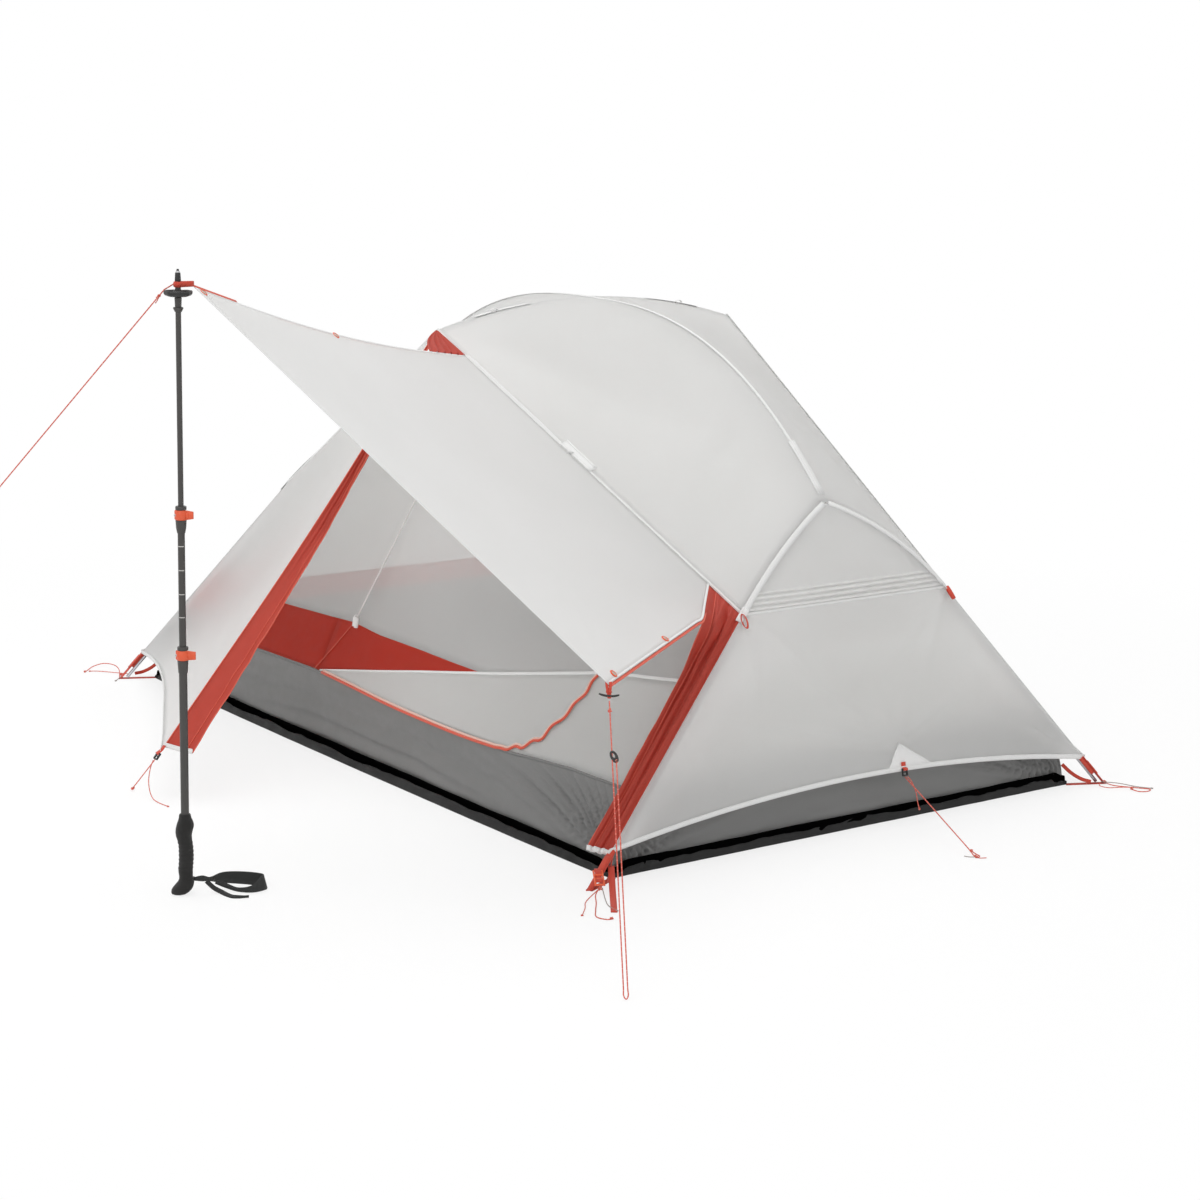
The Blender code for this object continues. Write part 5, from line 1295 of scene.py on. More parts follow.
# Folds of the rainfly's ends: from, to, width, height, and how they fade at both ends
END_PATCH = (1.078, 0.116, 0.184)
FADE_FROM_PATCH = (0.06, 0.6)
FADE_FROM_KNEE = (0.1, 0.6)
FADE_FROM_CORNER = (0.05, 0.6)
FADE_FROM_HUB = (0.12, 0.5)
END_FOLDS = ((END_PATCH, (0.95, 0.28, 0.50), 0.017, 0.0070, FADE_FROM_PATCH),
             (END_PATCH, (0.95, 0.00, 0.50), 0.017, 0.0090, FADE_FROM_PATCH),
             (END_PATCH, (1.02, -0.25, 0.45), 0.017, 0.0070, FADE_FROM_PATCH),
             (END_PATCH, (1.05, -0.45, 0.30), 0.017, 0.0070, FADE_FROM_PATCH),
             (END_PATCH, (1.05, 0.42, 0.32), 0.017, 0.0070, FADE_FROM_PATCH),
             ((1.010, 0.29, 0.51), (1.06, 0.05, 0.33), 0.018, 0.0070, FADE_FROM_KNEE),
             ((1.010, 0.29, 0.51), (1.05, 0.20, 0.30), 0.018, 0.0070, FADE_FROM_KNEE),
             ((1.010, -0.29, 0.51), (1.06, -0.05, 0.33), 0.018, 0.0070, FADE_FROM_KNEE),
             ((1.010, -0.29, 0.51), (1.06, -0.28, 0.28), 0.018, 0.0070, FADE_FROM_KNEE),
             ((1.095, 0.70, 0.085), (1.02, 0.25, 0.30), 0.018, 0.0070, FADE_FROM_CORNER),
             ((1.095, -0.70, 0.085), (1.02, -0.25, 0.30), 0.018, 0.0070, FADE_FROM_CORNER),
             ((0.93, 0, 0.72), (0.95, 0.10, 0.60), 0.010, 0.0026, FADE_FROM_HUB),
             ((0.93, 0, 0.72), (0.96, -0.10, 0.60), 0.010, 0.0026, FADE_FROM_HUB),
             ((0.93, 0, 0.72), (0.94, 0.0, 0.58), 0.010, 0.0026, FADE_FROM_HUB))
END_REACH = 1.0985


def add_ends():
    """The rainfly's ends: a seam at the knees, gathers above it, and a hem that is cut hollow."""
    along = np.unique(np.concatenate([steps(24, 0.03, 0.82), steps(48, 0.82, 1.02), steps(60, 1.02, 2.0)]))
    across = steps(110, -1, 1)
    s, u = along[:, None], across[None]
    edge = leg_line(along)[:, None]
    lift = END_HEM_LIFT * np.clip(s - 1, 0, 1) ** 2
    for side_x, name in ((1, "right"), (-1, "left")):
        rows = np.stack([edge[..., 0] + u * 0, u * edge[..., 1], edge[..., 2] + lift * (1 - u ** 2)], -1)
        rows = flip(rows, side_x)
        normal = normals_of(rows)
        normal *= np.sign(normal[..., 0:1]) * side_x
        hold = np.clip((1 - np.abs(u)) * 8, 0, 1)
        gather = 0.0052 * np.sin((s - 0.84) / 0.16 * math.tau * 4 + 0.6 * lattice(u * 2, 1.0, 2))
        gather = gather * smooth_step(0.835, 0.87, s) * (1 - smooth_step(0.985, 1.0, s))
        push = gather * (0.8 + 0.2 * lattice(u * 6, 3, 2)) * hold
        push = push + (0.004 * crumple(rows[..., 1] * 2.4, rows[..., 2] * 3.0, 51, 2)
                       * np.sin(np.pi * np.clip(s / 2, 0, 1)) * hold)
        push = push - 0.012 * np.sin(np.pi * np.clip(s - 1, 0, 1)) * (1 - u ** 2)
        for start, end, width, height, fade in END_FOLDS:
            push = push + fold(rows, flip(start, side_x), flip(end, side_x), width, height, fade) * hold
        rows = rows + normal * push[..., None]
        rows[..., 0] = np.clip(rows[..., 0], -END_REACH, END_REACH)
        sheet("end_panel_" + name, rows, FLY, "fly_end_" + name, CLOTH)
        trim = Shape()
        seam_at = int(np.argmin(np.abs(along - 1.0)))
        trim.band(rows[seam_at] + normal[seam_at] * 0.0004, UP, 0.006, 0.0012)
        trim.band(rows[-1] + UP * 0.005, point(side_x * 0.05, 0, 1), 0.012, 0.0016)
        foot = rows[-1][int(np.argmin(np.abs(rows[-1][:, 1] - END_PATCH[1])))]
        patch = []
        for t in steps(8):
            spread = steps(8, -0.046 * (1 - t) - 0.0015, 0.094 * (1 - t) + 0.0015)[:, None]
            line = foot + UP * (0.003 + 0.058 * t) + point(0, 1, 0) * spread
            nearest = [int(np.argmin(np.linalg.norm((rows - spot)[..., 1:], axis=-1))) for spot in line]
            line[:, 0] = rows.reshape(-1, 3)[nearest, 0] + side_x * 0.0012
            patch.append(line)
        trim.cloth(patch, FLAP_CLOTH)
        trim.make("end_tapes_" + name, HEM)


def add_vestibules():
    """The vestibules' fixed panels with their hems and zip flies."""
    across, along = steps(44), steps(44)
    u, v = across[None], along[:, None]
    hold = np.clip(np.minimum(u, 1 - u) * 8, 0, 1) * np.clip(v * 8, 0, 1)
    for side_x, side_y, node, name in ((-1, -1, "vestibule_front", "vestibule_panel_front"),
                                       (-1, 1, "vestibule_back", "vestibule_panel_back"),
                                       (1, 1, "vestibule_back_door", "vestibule_door_back")):
        knee = flip(KNEE, side_x)
        rows = coons(lambda share: lerp(TIP, knee, share), lambda share: hem_line(share, side_x), zip_line,
                     lambda share: flip(leg_line(1 + share), side_x), across, along)
        rows = flip(rows, 1, side_y)
        normal = normals_of(rows)
        normal *= np.sign(normal[..., 1:2]) * side_y
        push = 0.006 * crumple(rows[..., 0] * 2.2 + 3, rows[..., 2] * 2.6, 61 + side_x + 2 * side_y, 2) * hold
        push = push - 0.016 * np.sin(np.pi * u) * np.sin(np.pi * np.clip(v, 0, 1))
        stake, corner = flip(STAKE, 1, side_y), flip(CORNER, side_x, side_y)
        for t, size in ((0.25, 0.004), (0.5, 0.003), (0.75, 0.004)):
            target = flip(lerp(TIP, knee, t), 1, side_y)
            for start, reach in ((stake, 0.75), (corner, 0.6)):
                push = push + fold(rows, start, lerp(start, target, reach), 0.016, size, (0.05, 0.6)) * hold
        rows = rows + normal * push[..., None]
        sheet(name, rows, FLY, node, CLOTH)
        trim = Shape()
        trim.band(rows[-1] + UP * 0.005, point(0, -side_y * 0.2, 1), 0.009, 0.0012)
        inward = unit(rows[:, 4] - rows[:, 0])
        trim.band(rows[:, 0] + normal[:, 0] * 0.0006 + inward * 0.005, inward, 0.010, TAPE)
        trim.make(name + "_tapes", HEM)
    edges = Shape()
    for side_x, side_y in ((1, 1), (-1, 1), (-1, -1)):
        edges.tube(flip(leg_line(steps(30, 1.0, 1.99)), side_x, side_y), 0.0011, sides=6)
    edges.band(zip_line(steps(30, 0.02, 0.99)) + point(0, 0.002, 0), point(1, 0, 0), 0.022, 0.0016)
    edges.make("rainfly_edge_tapes", HEM)


def awning_rows(across, along):
    """The raised door between its hinge seam and its free edge."""
    def left(v):
        line = lerp(HINGE_FROM, AWNING_POLE_CORNER, v)
        line[..., 2] -= AWNING_EDGE_SAG * np.sin(np.pi * v)
        return line

    def right(v):
        upper = lerp(HINGE_TO, AWNING_SIDE_PULL, v / AWNING_BEND)
        lower = lerp(AWNING_SIDE_PULL, AWNING_FREE_CORNER, (v - AWNING_BEND) / (1 - AWNING_BEND))
        turned = smooth_step(AWNING_BEND - 0.05, AWNING_BEND + 0.05, v)[..., None]
        return upper * (1 - turned) + lower * turned

    def seam(u):
        return lerp(HINGE_FROM, HINGE_TO, u)

    def front(u):
        return lerp(AWNING_POLE_CORNER, AWNING_FREE_CORNER, u)

    return coons(seam, front, left, right, across, along)


def add_awning():
    """The raised vestibule door with its tapes, zip halves and grommets."""
    across, along = steps(72), steps(60)
    rows = awning_rows(across, along)
    face = unit(normals_of(rows)[10:50, 10:60].mean(axis=(0, 1)))
    face *= np.sign(face[2])
    u, v = across[None], along[:, None]
    hold = np.clip(np.minimum(v, 1 - v) * 10, 0, 1) * np.clip(np.minimum(u, 1 - u) * 10, 0, 1)
    hold = hold * smooth_step(0.35, 0.75, np.linalg.norm(rows - AWNING_POLE_CORNER, axis=-1))
    push = 0.0035 * crumple(rows[..., 0] * 2.0, rows[..., 1] * 2.0, 71, 2) * hold
    for start, end, size in (((-8, 6), (20, 30), 0.003), ((-8, 4), (25, 14), 0.003),
                             ((-8, 8), (40, 40), 0.002), ((-1, -1), (30, 40), 0.004),
                             ((-1, -1), (18, 56), 0.003), ((0, 3), (30, 10), 0.003),
                             ((0, 1), (20, 22), 0.003)):
        push = push + fold(rows, rows[start], rows[end], 0.018, size, ends=(0.04, 0.6)) * hold
    push = push - 0.014 * np.sin(np.pi * u) * np.sin(np.pi * v)
    rows = rows + face * push[..., None]
    rows[0] += unit(rows[1] - rows[0]) * 0.0032
    shape = Shape()
    shape.cloth(rows, CLOTH, face=face)
    shape.lay_flat(rows[-1, 0] - rows[0, 0], face)
    piece = shape.make("awning", AWNING, "awning", "awning_door")
    declare_sheet(piece, rows)

    from_front = unit(rows[-3] - rows[-1])
    from_left = unit(rows[:, 2] - rows[:, 0])
    from_right = unit(rows[:, -3] - rows[:, -1])
    trim = Shape()
    trim.band(rows[-1] + from_front * 0.0035, from_front, 0.007, TAPE)
    trim.band(rows[:, 0] + from_left * 0.003, from_left, 0.006, TAPE)
    trim.band(rows[:, -1] + from_right * 0.003, from_right, 0.005, 0.0010)
    trim.make("awning_tapes", HEM, "awning")
    zips = Shape()
    edge = rows[:, -1] - from_right * 0.001 - UP * 0.003
    zips.band(edge[6:], -from_right[6:], 0.006, 0.0016)
    zips.tube(edge[6:] - from_right[6:] * 0.0022, 0.0017)
    edge = rows[:, 0] - from_left * 0.001 + UP * 0.001
    zips.band(edge[52:], -from_left[52:], 0.0060, 0.0016)
    zips.tube(edge[52:] - from_left[52:] * 0.0020, 0.0014)
    zips.band(edge[2:46] - UP * 0.006, -from_left[2:46], 0.008, 0.0018)
    zips.make("awning_zip_halves", ZIP, "awning")
    rings = Shape()
    for v_at, u_at in ((0.982, 0.009), (0.534, 0.007), (0.920, 0.989), (0.460, 0.989)):
        i, j = int(v_at * 60), int(u_at * 72)
        part_i, part_j = v_at * 60 - i, u_at * 72 - j
        centre = lerp(lerp(rows[i, j], rows[i, j + 1], part_j),
                      lerp(rows[i + 1, j], rows[i + 1, j + 1], part_j), part_i)
        side = unit(rows[i, j + 1] - rows[i, j])
        rings.tube(centre + 0.0074 * circle(28, side, np.cross(face, side)), 0.0019, closed=True)
        rings.lathe([(0.0, -0.0012), (0.0064, -0.0012), (0.0064, 0.0012), (0.0, 0.0012)], centre, 1, 24, face)
    rings.make("awning_grommets", [ORANGE, GREY], "awning")


def add_awning_hardware():
    """The welt and tie patch at the awning's seam, and the webbing and crossbar at its free corner."""
    welt = Shape()
    line = lerp(HINGE_FROM, HINGE_TO, steps(30))
    welt.tube(line, 0.0026, sides=10)
    side = unit(np.cross(HINGE_TO - HINGE_FROM, point(0, -0.5, 1)))
    side *= np.sign(side[2])
    welt.band(line + side * 0.005, side, 0.008, TAPE)
    welt.make("awning_hinge_tape", SEAM, replaces="awning_welt")
    patch = Shape()
    line = lerp(HINGE_FROM, HINGE_TO, steps(8, 0.412, 0.535)) + UP * 0.004
    patch.band(line, side, 0.005, 0.0012)
    patch.band(line + side * 0.016, side, 0.005, 0.0012)
    patch.band(line + side * 0.008 - UP * 0.0008, side, 0.015, 0.0010)
    start = line[3] + side * 0.002
    tie = through([start + point(*away) for away in ((0, 0, 0), (-0.004, -0.008, 0.002),
                                                     (-0.016, -0.020, -0.004), (-0.026, -0.026, -0.006))], 4)
    patch.band(tie, point(0.5, 0, 1), 0.008, TAPE)
    patch.make("awning_tie_patch", HEM)

    loop = Shape()
    for shift in (-1, 1):
        line = through([AWNING_FREE_CORNER + GUY_DOWN * below + GUY_ACROSS * shift * aside
                        for below, aside in ((-0.006, 0.004), (0.006, 0.0035), (0.016, 0.0022),
                                             (0.031, 0.0008))], 5)
        loop.band(line, GUY_ACROSS + shift * 0.35 * np.cross(GUY_DOWN, GUY_ACROSS), 0.0055, TAPE)
    loop.knot(AWNING_FREE_CORNER + GUY_DOWN * 0.014, GUY_DOWN, 0.0060, 0.0018)
    loop.make("awning_corner_webbing", STRAP, "awning", "awning_corner_loop")
    toggle = Shape()
    centre = AWNING_FREE_CORNER + GUY_DOWN * 0.026
    t = steps(20, -0.5, 0.5)[:, None]
    toggle.tube(centre + GUY_ACROSS * 0.040 * t + GUY_DOWN * (0.003 * t - 0.016 * t * t),
                0.0025 * (1 - 0.35 * np.abs(steps(20, -1, 1)) ** 3), sides=12)
    toggle.tube([centre - GUY_ACROSS * 0.002, centre + GUY_ACROSS * 0.002], 0.0030, sides=12)
    toggle.make("guyline_crossbar", BLACK, "awning", "guyline_toggle")


FLAP_WIDTHS = ((0, 0.083), (0.06, 0.080), (0.155, 0.076), (0.255, 0.070), (0.44, 0.064), (0.62, 0.060),
               (0.8, 0.057), (1, 0.055))
FLAP_CORDS = {"left": ((0, 0.001, 0.0016), (-1, 0.0, 0.0014), (20, 0.0012, 0.0010)),
              "right": ((-1, 0.0, 0.0015), (22, 0.0016, 0.0010))}


def add_flaps():
    """Rust storm flaps with their pleats, and the gusset at the awning's top corner."""
    face = unit(np.cross(FRONT_KNEE - FRONT_TIP, FRONT_STAKE - FRONT_TIP))
    face *= -np.sign(face[1])
    corner = flip(CORNER, 1, -1)
    seam = unit(FRONT_KNEE - FRONT_TIP)
    across = steps(28)
    rows = []
    for v in steps(90, 0.012, 0.985):
        edge = flip(zip_line(np.array([v])), 1, -1)[0]
        direction = seam + (unit(corner - edge) - seam) * min(1.0, v / 0.2)
        pleat = 0.0036 * np.sin(math.tau * 3.5 * across + 1.4 * lattice(v * 4, 1.0, 7))
        pleat = pleat + 0.0016 * np.sin(math.tau * 9 * across + 2.5 * lattice(v * 6, 4.0, 8))
        pleat = pleat * math.sin(math.pi * min(v * 1.6, 1)) + 0.0022 * crumple(v * 26, across * 3, 9, 2)
        sink = 0.006 * min(1.0, 4 * v) * np.sin(math.pi * across) + pleat * np.minimum(1.0, 5 * across)
        rows.append(edge + direction * ((0.006 + 0.077 * v) * across)[:, None] - face * sink[:, None])
    rows = np.array(rows)
    finish_flap(rows, "left", face, 0.004)

    rows = []
    for v in steps(90, 0.02, 1.0):
        edge = flip(leg_line(np.array([1 + v])), 1, -1)[0]
        width = np.interp(v, *zip(*FLAP_WIDTHS))
        pleat = 0.0072 * np.sin(math.tau * 3 * across + 1.6 * lattice(v * 3, 2.0, 17))
        pleat = pleat + 0.0030 * np.sin(math.tau * 8 * across + 3 * lattice(v * 5, 6.0, 18))
        pleat = (pleat + 0.0016 * lattice(v * 18, across * 3, 19)) * (1 - 0.35 * v)
        pleat = pleat * np.minimum(1.0, 5 * across)
        rows.append(edge + unit(FRONT_STAKE - edge) * (width * across)[:, None] - face * pleat[:, None])
    hinge_end = lerp(FRONT_TIP, FRONT_KNEE, 0.902) - UP * 0.004
    top_edge = lerp(FRONT_KNEE - UP * 0.003, hinge_end, across)
    yoke = []
    for t in steps(12)[:-1]:
        crease = 0.0050 * np.sin(math.tau * 5 * across + 1.0) * (0.3 + 0.7 * t) * np.sin(math.pi * across)
        yoke.append(lerp(top_edge, rows[0], t) - face * crease[:, None])
    rows = np.array(yoke + rows)
    order = np.arange(len(rows)) / len(yoke)
    beside = awning_rows(np.array([1.0]), np.clip(0.09 * order, 0, 1))[:, 0] - UP * 0.004
    hold = 1 - smooth_step(1.1, 2.2, order)
    rows += ((beside - rows[:, -1]) * hold[:, None])[:, None] * (across ** 1.5)[None, :, None]
    finish_flap(rows, "right", face, 0.002)

    sewn = np.clip(steps(36, 0.155, -0.002), 0, 1)
    low_edge = lerp(HINGE_FROM, AWNING_POLE_CORNER, sewn)
    low_edge[:, 2] -= AWNING_EDGE_SAG * np.sin(np.pi * sewn)
    top = FRONT_TIP + point(0.002, -0.004, 0.001)
    outward = unit(np.cross(low_edge[0] - top, low_edge[-1] - top))
    outward *= np.sign(outward @ point(0.89, -0.45, 0))
    spread = steps(36)
    rows = []
    for t in steps(26, 0.04, 1):
        pleat = 0.0064 * np.sin(math.tau * 5.5 * spread + 0.8) + 0.0012 * lattice(spread * 22, t * 2, 44)
        sink = math.sin(math.pi * t) * (1 - spread[:, None]) ** 2
        rows.append(lerp(top, low_edge, t) - point(0.016, 0.006, 0) * sink
                    + outward * (pleat * t * np.sin(math.pi * spread) ** 0.4)[:, None])
    shape = Shape()
    shape.cloth(rows, 0.0006)
    piece = shape.make("awning_gusset", RUST, None)
    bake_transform(piece)
    declare_sheet(piece, rows)


def finish_flap(rows, name, face, hem_rise):
    """A storm flap's cloth, the piping along it and the pale hem at its foot."""
    sheet("storm_flap_cloth_" + name, rows, RUST, "storm_flap_" + name, FLAP_CLOTH)
    piping = Shape()
    for column, off, radius in FLAP_CORDS[name]:
        piping.tube(rows[:, column] + face * off, radius, sides=6)
    piping.make("storm_flap_piping_" + name, ZIP)
    hem = Shape()
    hem.band(rows[-1] + UP * hem_rise, UP, 0.012, 0.0020)
    hem.make("storm_flap_hem_" + name, HEM)


def add_straps():
    """Webbing at the corners, from the rainfly round the pole's foot to the groundsheet."""
    run = unit(CORNER - KNEE)
    outward = unit(point(run[0], run[1], 0))
    half = point(-outward[1], outward[0], 0)
    start = CORNER + run * 0.0012
    low = 0.0010
    bend = start + run * ((start[2] - low - 0.004) / -run[2])
    turn = bend + outward * 0.004 - UP * 0.004
    ground = point(*GROUND_HALF, low) + outward * 0.0006
    inside = turn - outward * 0.006
    inside[2] = low
    line = laid([start - run * 0.012, start, lerp(start, bend, 0.5), bend, turn + UP * 0.0012, inside,
                 ground - outward * 0.004], 4, low)
    fold_over = through([start + run * 0.004 + outward * 0.0022, start + run * 0.030 + outward * 0.0024,
                         start + run * 0.050 + outward * 0.0022], 4)
    foot = lerp(leg_line(1.985), CORNER + run * 0.046, steps(8)) - outward * 0.0052 - UP * 0.003
    hook = through([(1.060, 0.677, 0.050), (1.075, 0.694, 0.030), (1.093, 0.712, 0.016),
                    (1.108, 0.730, 0.010)], 5)
    for side_x, side_y in QUARTERS:
        strap = Shape()
        strap.band(flip(line, side_x, side_y), flip(half, side_x, side_y), 0.015, 0.0015)
        strap.band(flip(fold_over, side_x, side_y), flip(half, side_x, side_y), 0.015, TAPE)
        strap.tube(flip(foot, side_x, side_y), 0.0056, sides=12)
        strap.band(flip(hook, side_x, side_y), UP, 0.009, TAPE)
        place = ("back_" if side_y > 0 else "front_") + ("right" if side_x > 0 else "left")
        strap.make("corner_webbing_" + place, STRAP, replaces="corner_strap_" + place)
    tail = Shape()
    hang = laid([(1.0965, -0.7095, 0.040), (1.1150, -0.7215, 0.029), (1.1331, -0.7331, 0.018),
                 (1.1560, -0.7485, 0.009), (1.1855, -0.7685, 0.003), (1.2200, -0.7925, 0.0016),
                 (1.2540, -0.8165, 0.0016)], 5, 0.0012)
    tail.band(hang, VIEW_RIGHT, 0.014, TAPE)
    tail.make("corner_webbing_tail", STRAP)


def add_buckle():
    """The ladder-lock buckle of the near corner, with its webbing laced through it."""
    hinge = point(1.104493, -0.75066, 0.038956)
    ahead = unit(point(0.80, -0.42, -0.42))
    side = unit(np.cross(UP, ahead))
    rise = np.cross(ahead, side)
    buckle = Shape()
    wide, long = 0.022, 0.047
    for shift in (-1, 1):
        buckle.block(hinge + ahead * long / 2 + side * shift * (wide / 2 - 0.0019), (ahead, side, rise),
                     (long, 0.0038, 0.0042))
    for place, thick in ((0.0025, 0.0042), (0.0140, 0.0040), (0.0260, 0.0046), (0.0440, 0.0050)):
        buckle.block(hinge + ahead * place, (ahead, side, rise), (thick, wide - 0.002, 0.0036))
    buckle.make("corner_ladder_lock", ORANGE, "corner_buckle", "ladder_lock")
    laced = Shape()
    line = through([hinge + ahead * along + rise * up for along, up in (
        (-0.004, 0.001), (0.008, 0.0034), (0.020, -0.0022), (0.031, 0.0030), (0.038, 0.0010))], 4)
    laced.band(line, side, 0.014, 0.0012)
    laced.make("corner_buckle_webbing", STRAP, "corner_buckle")


def add_knees():
    """Webbing loops and patches at the rainfly's knees."""
    loops = Shape()
    turn = np.linspace(0, math.tau, 25)[:, None]
    for side_x, side_y in ((1, 1), (1, -1), (-1, 1)):
        reach = unit(point(side_x * 0.7, side_y * 0.7, -0.1))
        drop = unit(point(side_x * 0.55, side_y * 0.10, -0.62))
        wide = unit(np.cross(drop, reach))
        line = flip(KNEE, side_x, side_y) + drop * (0.015 - 0.017 * np.cos(turn))
        line = line + wide * 0.0055 * np.sin(turn) + reach * 0.004
        loops.band(line, unit(np.cross(drop, wide)), 0.009, TAPE)
    loops.make("knee_loops", STRAP)
    caps = Shape()
    for side_x, side_y in QUARTERS:
        line = flip(leg_line(steps(5, 0.955, 1.03)), side_x, side_y) + point(side_x, side_y, 0.4) * 0.0014
        caps.band(line, unit(point(-side_x, side_y, 0.1)), 0.017, TAPE)
    caps.make("knee_patches", SEAM)


def add_tensioners():
    """Cord tensioners on the hems and at the stake points, and the one on the guyline."""
    slope = unit(CORNER - KNEE)
    share = 0.118 / CORNER[1]
    hem_end = point(CORNER[0], 0.118, CORNER[2] + END_HEM_LIFT * (1 - share * share))
    down = unit(point(slope[0], 0, slope[2]))
    out = unit(np.cross(point(0, 1, 0), down))
    out *= np.sign(out[0])
    place = hem_end + down * 0.003 + out * 0.0039
    for side, label in ((1, "right"), (-1, "left")):
        tensioner("hem_tensioner", label, *(flip(part, side) for part in (place, down, out, hem_end)))
    pull = unit(STAKE - TIP)
    face = unit(np.cross(point(1, 0, 0), pull))
    face *= np.sign(face[1])
    place = STAKE + pull * 0.0094 + point(-0.004, 0, 0)
    for side, label in ((-1, "front"), (1, "back")):
        tensioner("stake_tensioner", label, *(flip(part, 1, side) for part in (place, pull, face, STAKE)))

    centre = AWNING_FREE_CORNER + GUY_DOWN * 0.160 + GUY_ACROSS * 0.004
    block = Shape()
    lean = unit(GUY_DOWN + GUY_ACROSS * 0.38)
    flat = unit(GUY_ACROSS - lean * (GUY_ACROSS @ lean))
    for shift, long, wide, radius in ((0.0, 0.0116, 0.0052, 0.0024), (0.0030, 0.0068, 0.0044, 0.0018)):
        block.tube(centre - lean * shift + circle(32, long * lean, wide * flat), radius, closed=True)
    block.block(centre + lean * 0.0045, (lean, flat, np.cross(GUY_DOWN, GUY_ACROSS)),
                (0.0040, 0.0110, 0.0044))
    block.make("guyline_tensioner_block", BLACK, "guyline_tensioner", "line_tensioner")


def tensioner(kind, label, place, down, out, sewn):
    """A small ladder tensioner and the webbing that holds it on the hem."""
    side = unit(np.cross(down, out))
    name = f"{kind}_block_{label}"
    shape = Shape()
    for shift in (-1, 1):
        shape.block(place + side * shift * 0.0066, (down, side, out), (0.018, 0.0028, 0.005))
    for along in (-0.0076, 0.0, 0.0076):
        shape.block(place + down * along, (down, side, out), (0.0028, 0.0150, 0.0048))
    shape.make(name, BLACK, replaces=f"{kind}_{label}")
    web = Shape()
    line = through([sewn - down * 0.020 + out * 0.0016, sewn - down * 0.008 + out * 0.0018,
                    place - down * 0.0090 + out * 0.0030, place - down * 0.0050 + out * 0.0044,
                    place - down * 0.0035 - out * 0.0010], 5)
    web.band(line, side, 0.013, TAPE)
    web.make(name + "_webbing", STRAP)


def add_trekking_pole():
    """Basket, tip, marks, lever locks, foam grip and wrist strap of the trekking pole."""
    axis = point(*POLE_PLACE, 0)
    basket = Shape()
    turn = around(72)
    notch = np.exp(-((np.mod(turn + 0.9, math.tau) - math.pi) / 0.16) ** 2) * 0.007
    outline = []
    for radius, height in ((0.0074, 0.0125), (0.0092, 0.0120), (0.0112, 0.0060), (0.0150, 0.0040),
                           (0.0200, 0.0050), (0.0245, 0.0072), (0.0262, 0.0104), (0.0272, 0.0126),
                           (0.0279, 0.0108), (0.0276, 0.0070), (0.0252, 0.0036), (0.0185, 0.0010),
                           (0.0105, 0.0002), (0.0074, 0.0002)):
        scallop = 0.0007 * np.cos(8 * turn) * smooth_step(0.015, 0.025, radius)
        size = radius - scallop - notch * smooth_step(0.018, 0.027, radius)
        outline.append(axis + np.column_stack([size * np.cos(turn), size * np.sin(turn),
                                               np.full(72, BASKET_HEIGHT + height)]))
    basket.grid(outline + [outline[0]], wrap=True)
    for k in range(6):
        angle = k * math.tau / 6 + 0.3
        ray = point(math.cos(angle), math.sin(angle), 0)
        basket.block(axis + ray * 0.0175 + UP * (BASKET_HEIGHT + 0.0072), (ray, np.cross(UP, ray), UP),
                     (0.013, 0.0018, 0.0024))
    basket.make("tip_basket", BLACK, "pole_upper", "pole_basket")
    top = axis + UP * (BASKET_HEIGHT + 0.0465)
    for name, look, slot, sides, profile in (
            ("tip_cone", BLACK, "black_plastic", 24, ((0.0030, -0.0160), (0.0063, -0.0150), (0.0061, -0.0120),
                                                      (0.0053, 0.0006), (0.0050, 0.0014), (0.0032, 0.0014))),
            ("tip_ferrule", STEEL, "shaft", 24, ((0.0030, -0.0010), (0.0041, 0.0), (0.0039, 0.0048),
                                                 (0.0028, 0.0050))),
            ("tip_point", BLACK, "shaft", 20, ((0.0020, 0.0040), (0.0026, 0.0049), (0.0024, 0.0082),
                                               (0.0012, 0.0087)))):
        turned = Shape()
        turned.lathe(profile, top, 0, sides)
        turned.make(name, look, "pole_upper")
    marks = Shape()
    start = math.atan2(VIEW_NEAR[1], VIEW_NEAR[0])
    arc = np.linspace(start - 0.9, start + 0.9, 16)
    for height in (0.7277, 0.6786, 0.6293, 0.582):
        line = axis + np.column_stack([0.00725 * np.cos(arc), 0.00725 * np.sin(arc), np.full(16, height)])
        marks.band(line, UP, 0.0016, 0.0003)
    marks.make("shaft_marks_middle", MARK, "pole_middle")
    collar = Shape()
    collar.lathe([(0.0086, -0.001), (0.0094, -0.001), (0.0094, 0.004), (0.0086, 0.004)],
                 axis + UP * (GRIP_TOP - 0.0034))
    collar.make("grip_collar", BLACK)
    add_lever("lever_lower", 0.521, 0.0084, "lock_lever_lower", (0.0165, 0.0030))
    add_lever("lever_upper", 0.809, 0.0072, "lock_lever_upper", (0.0150, 0.0050))
    add_grip(axis)
    add_wrist_strap(axis)
    add_tip_webbing(axis)


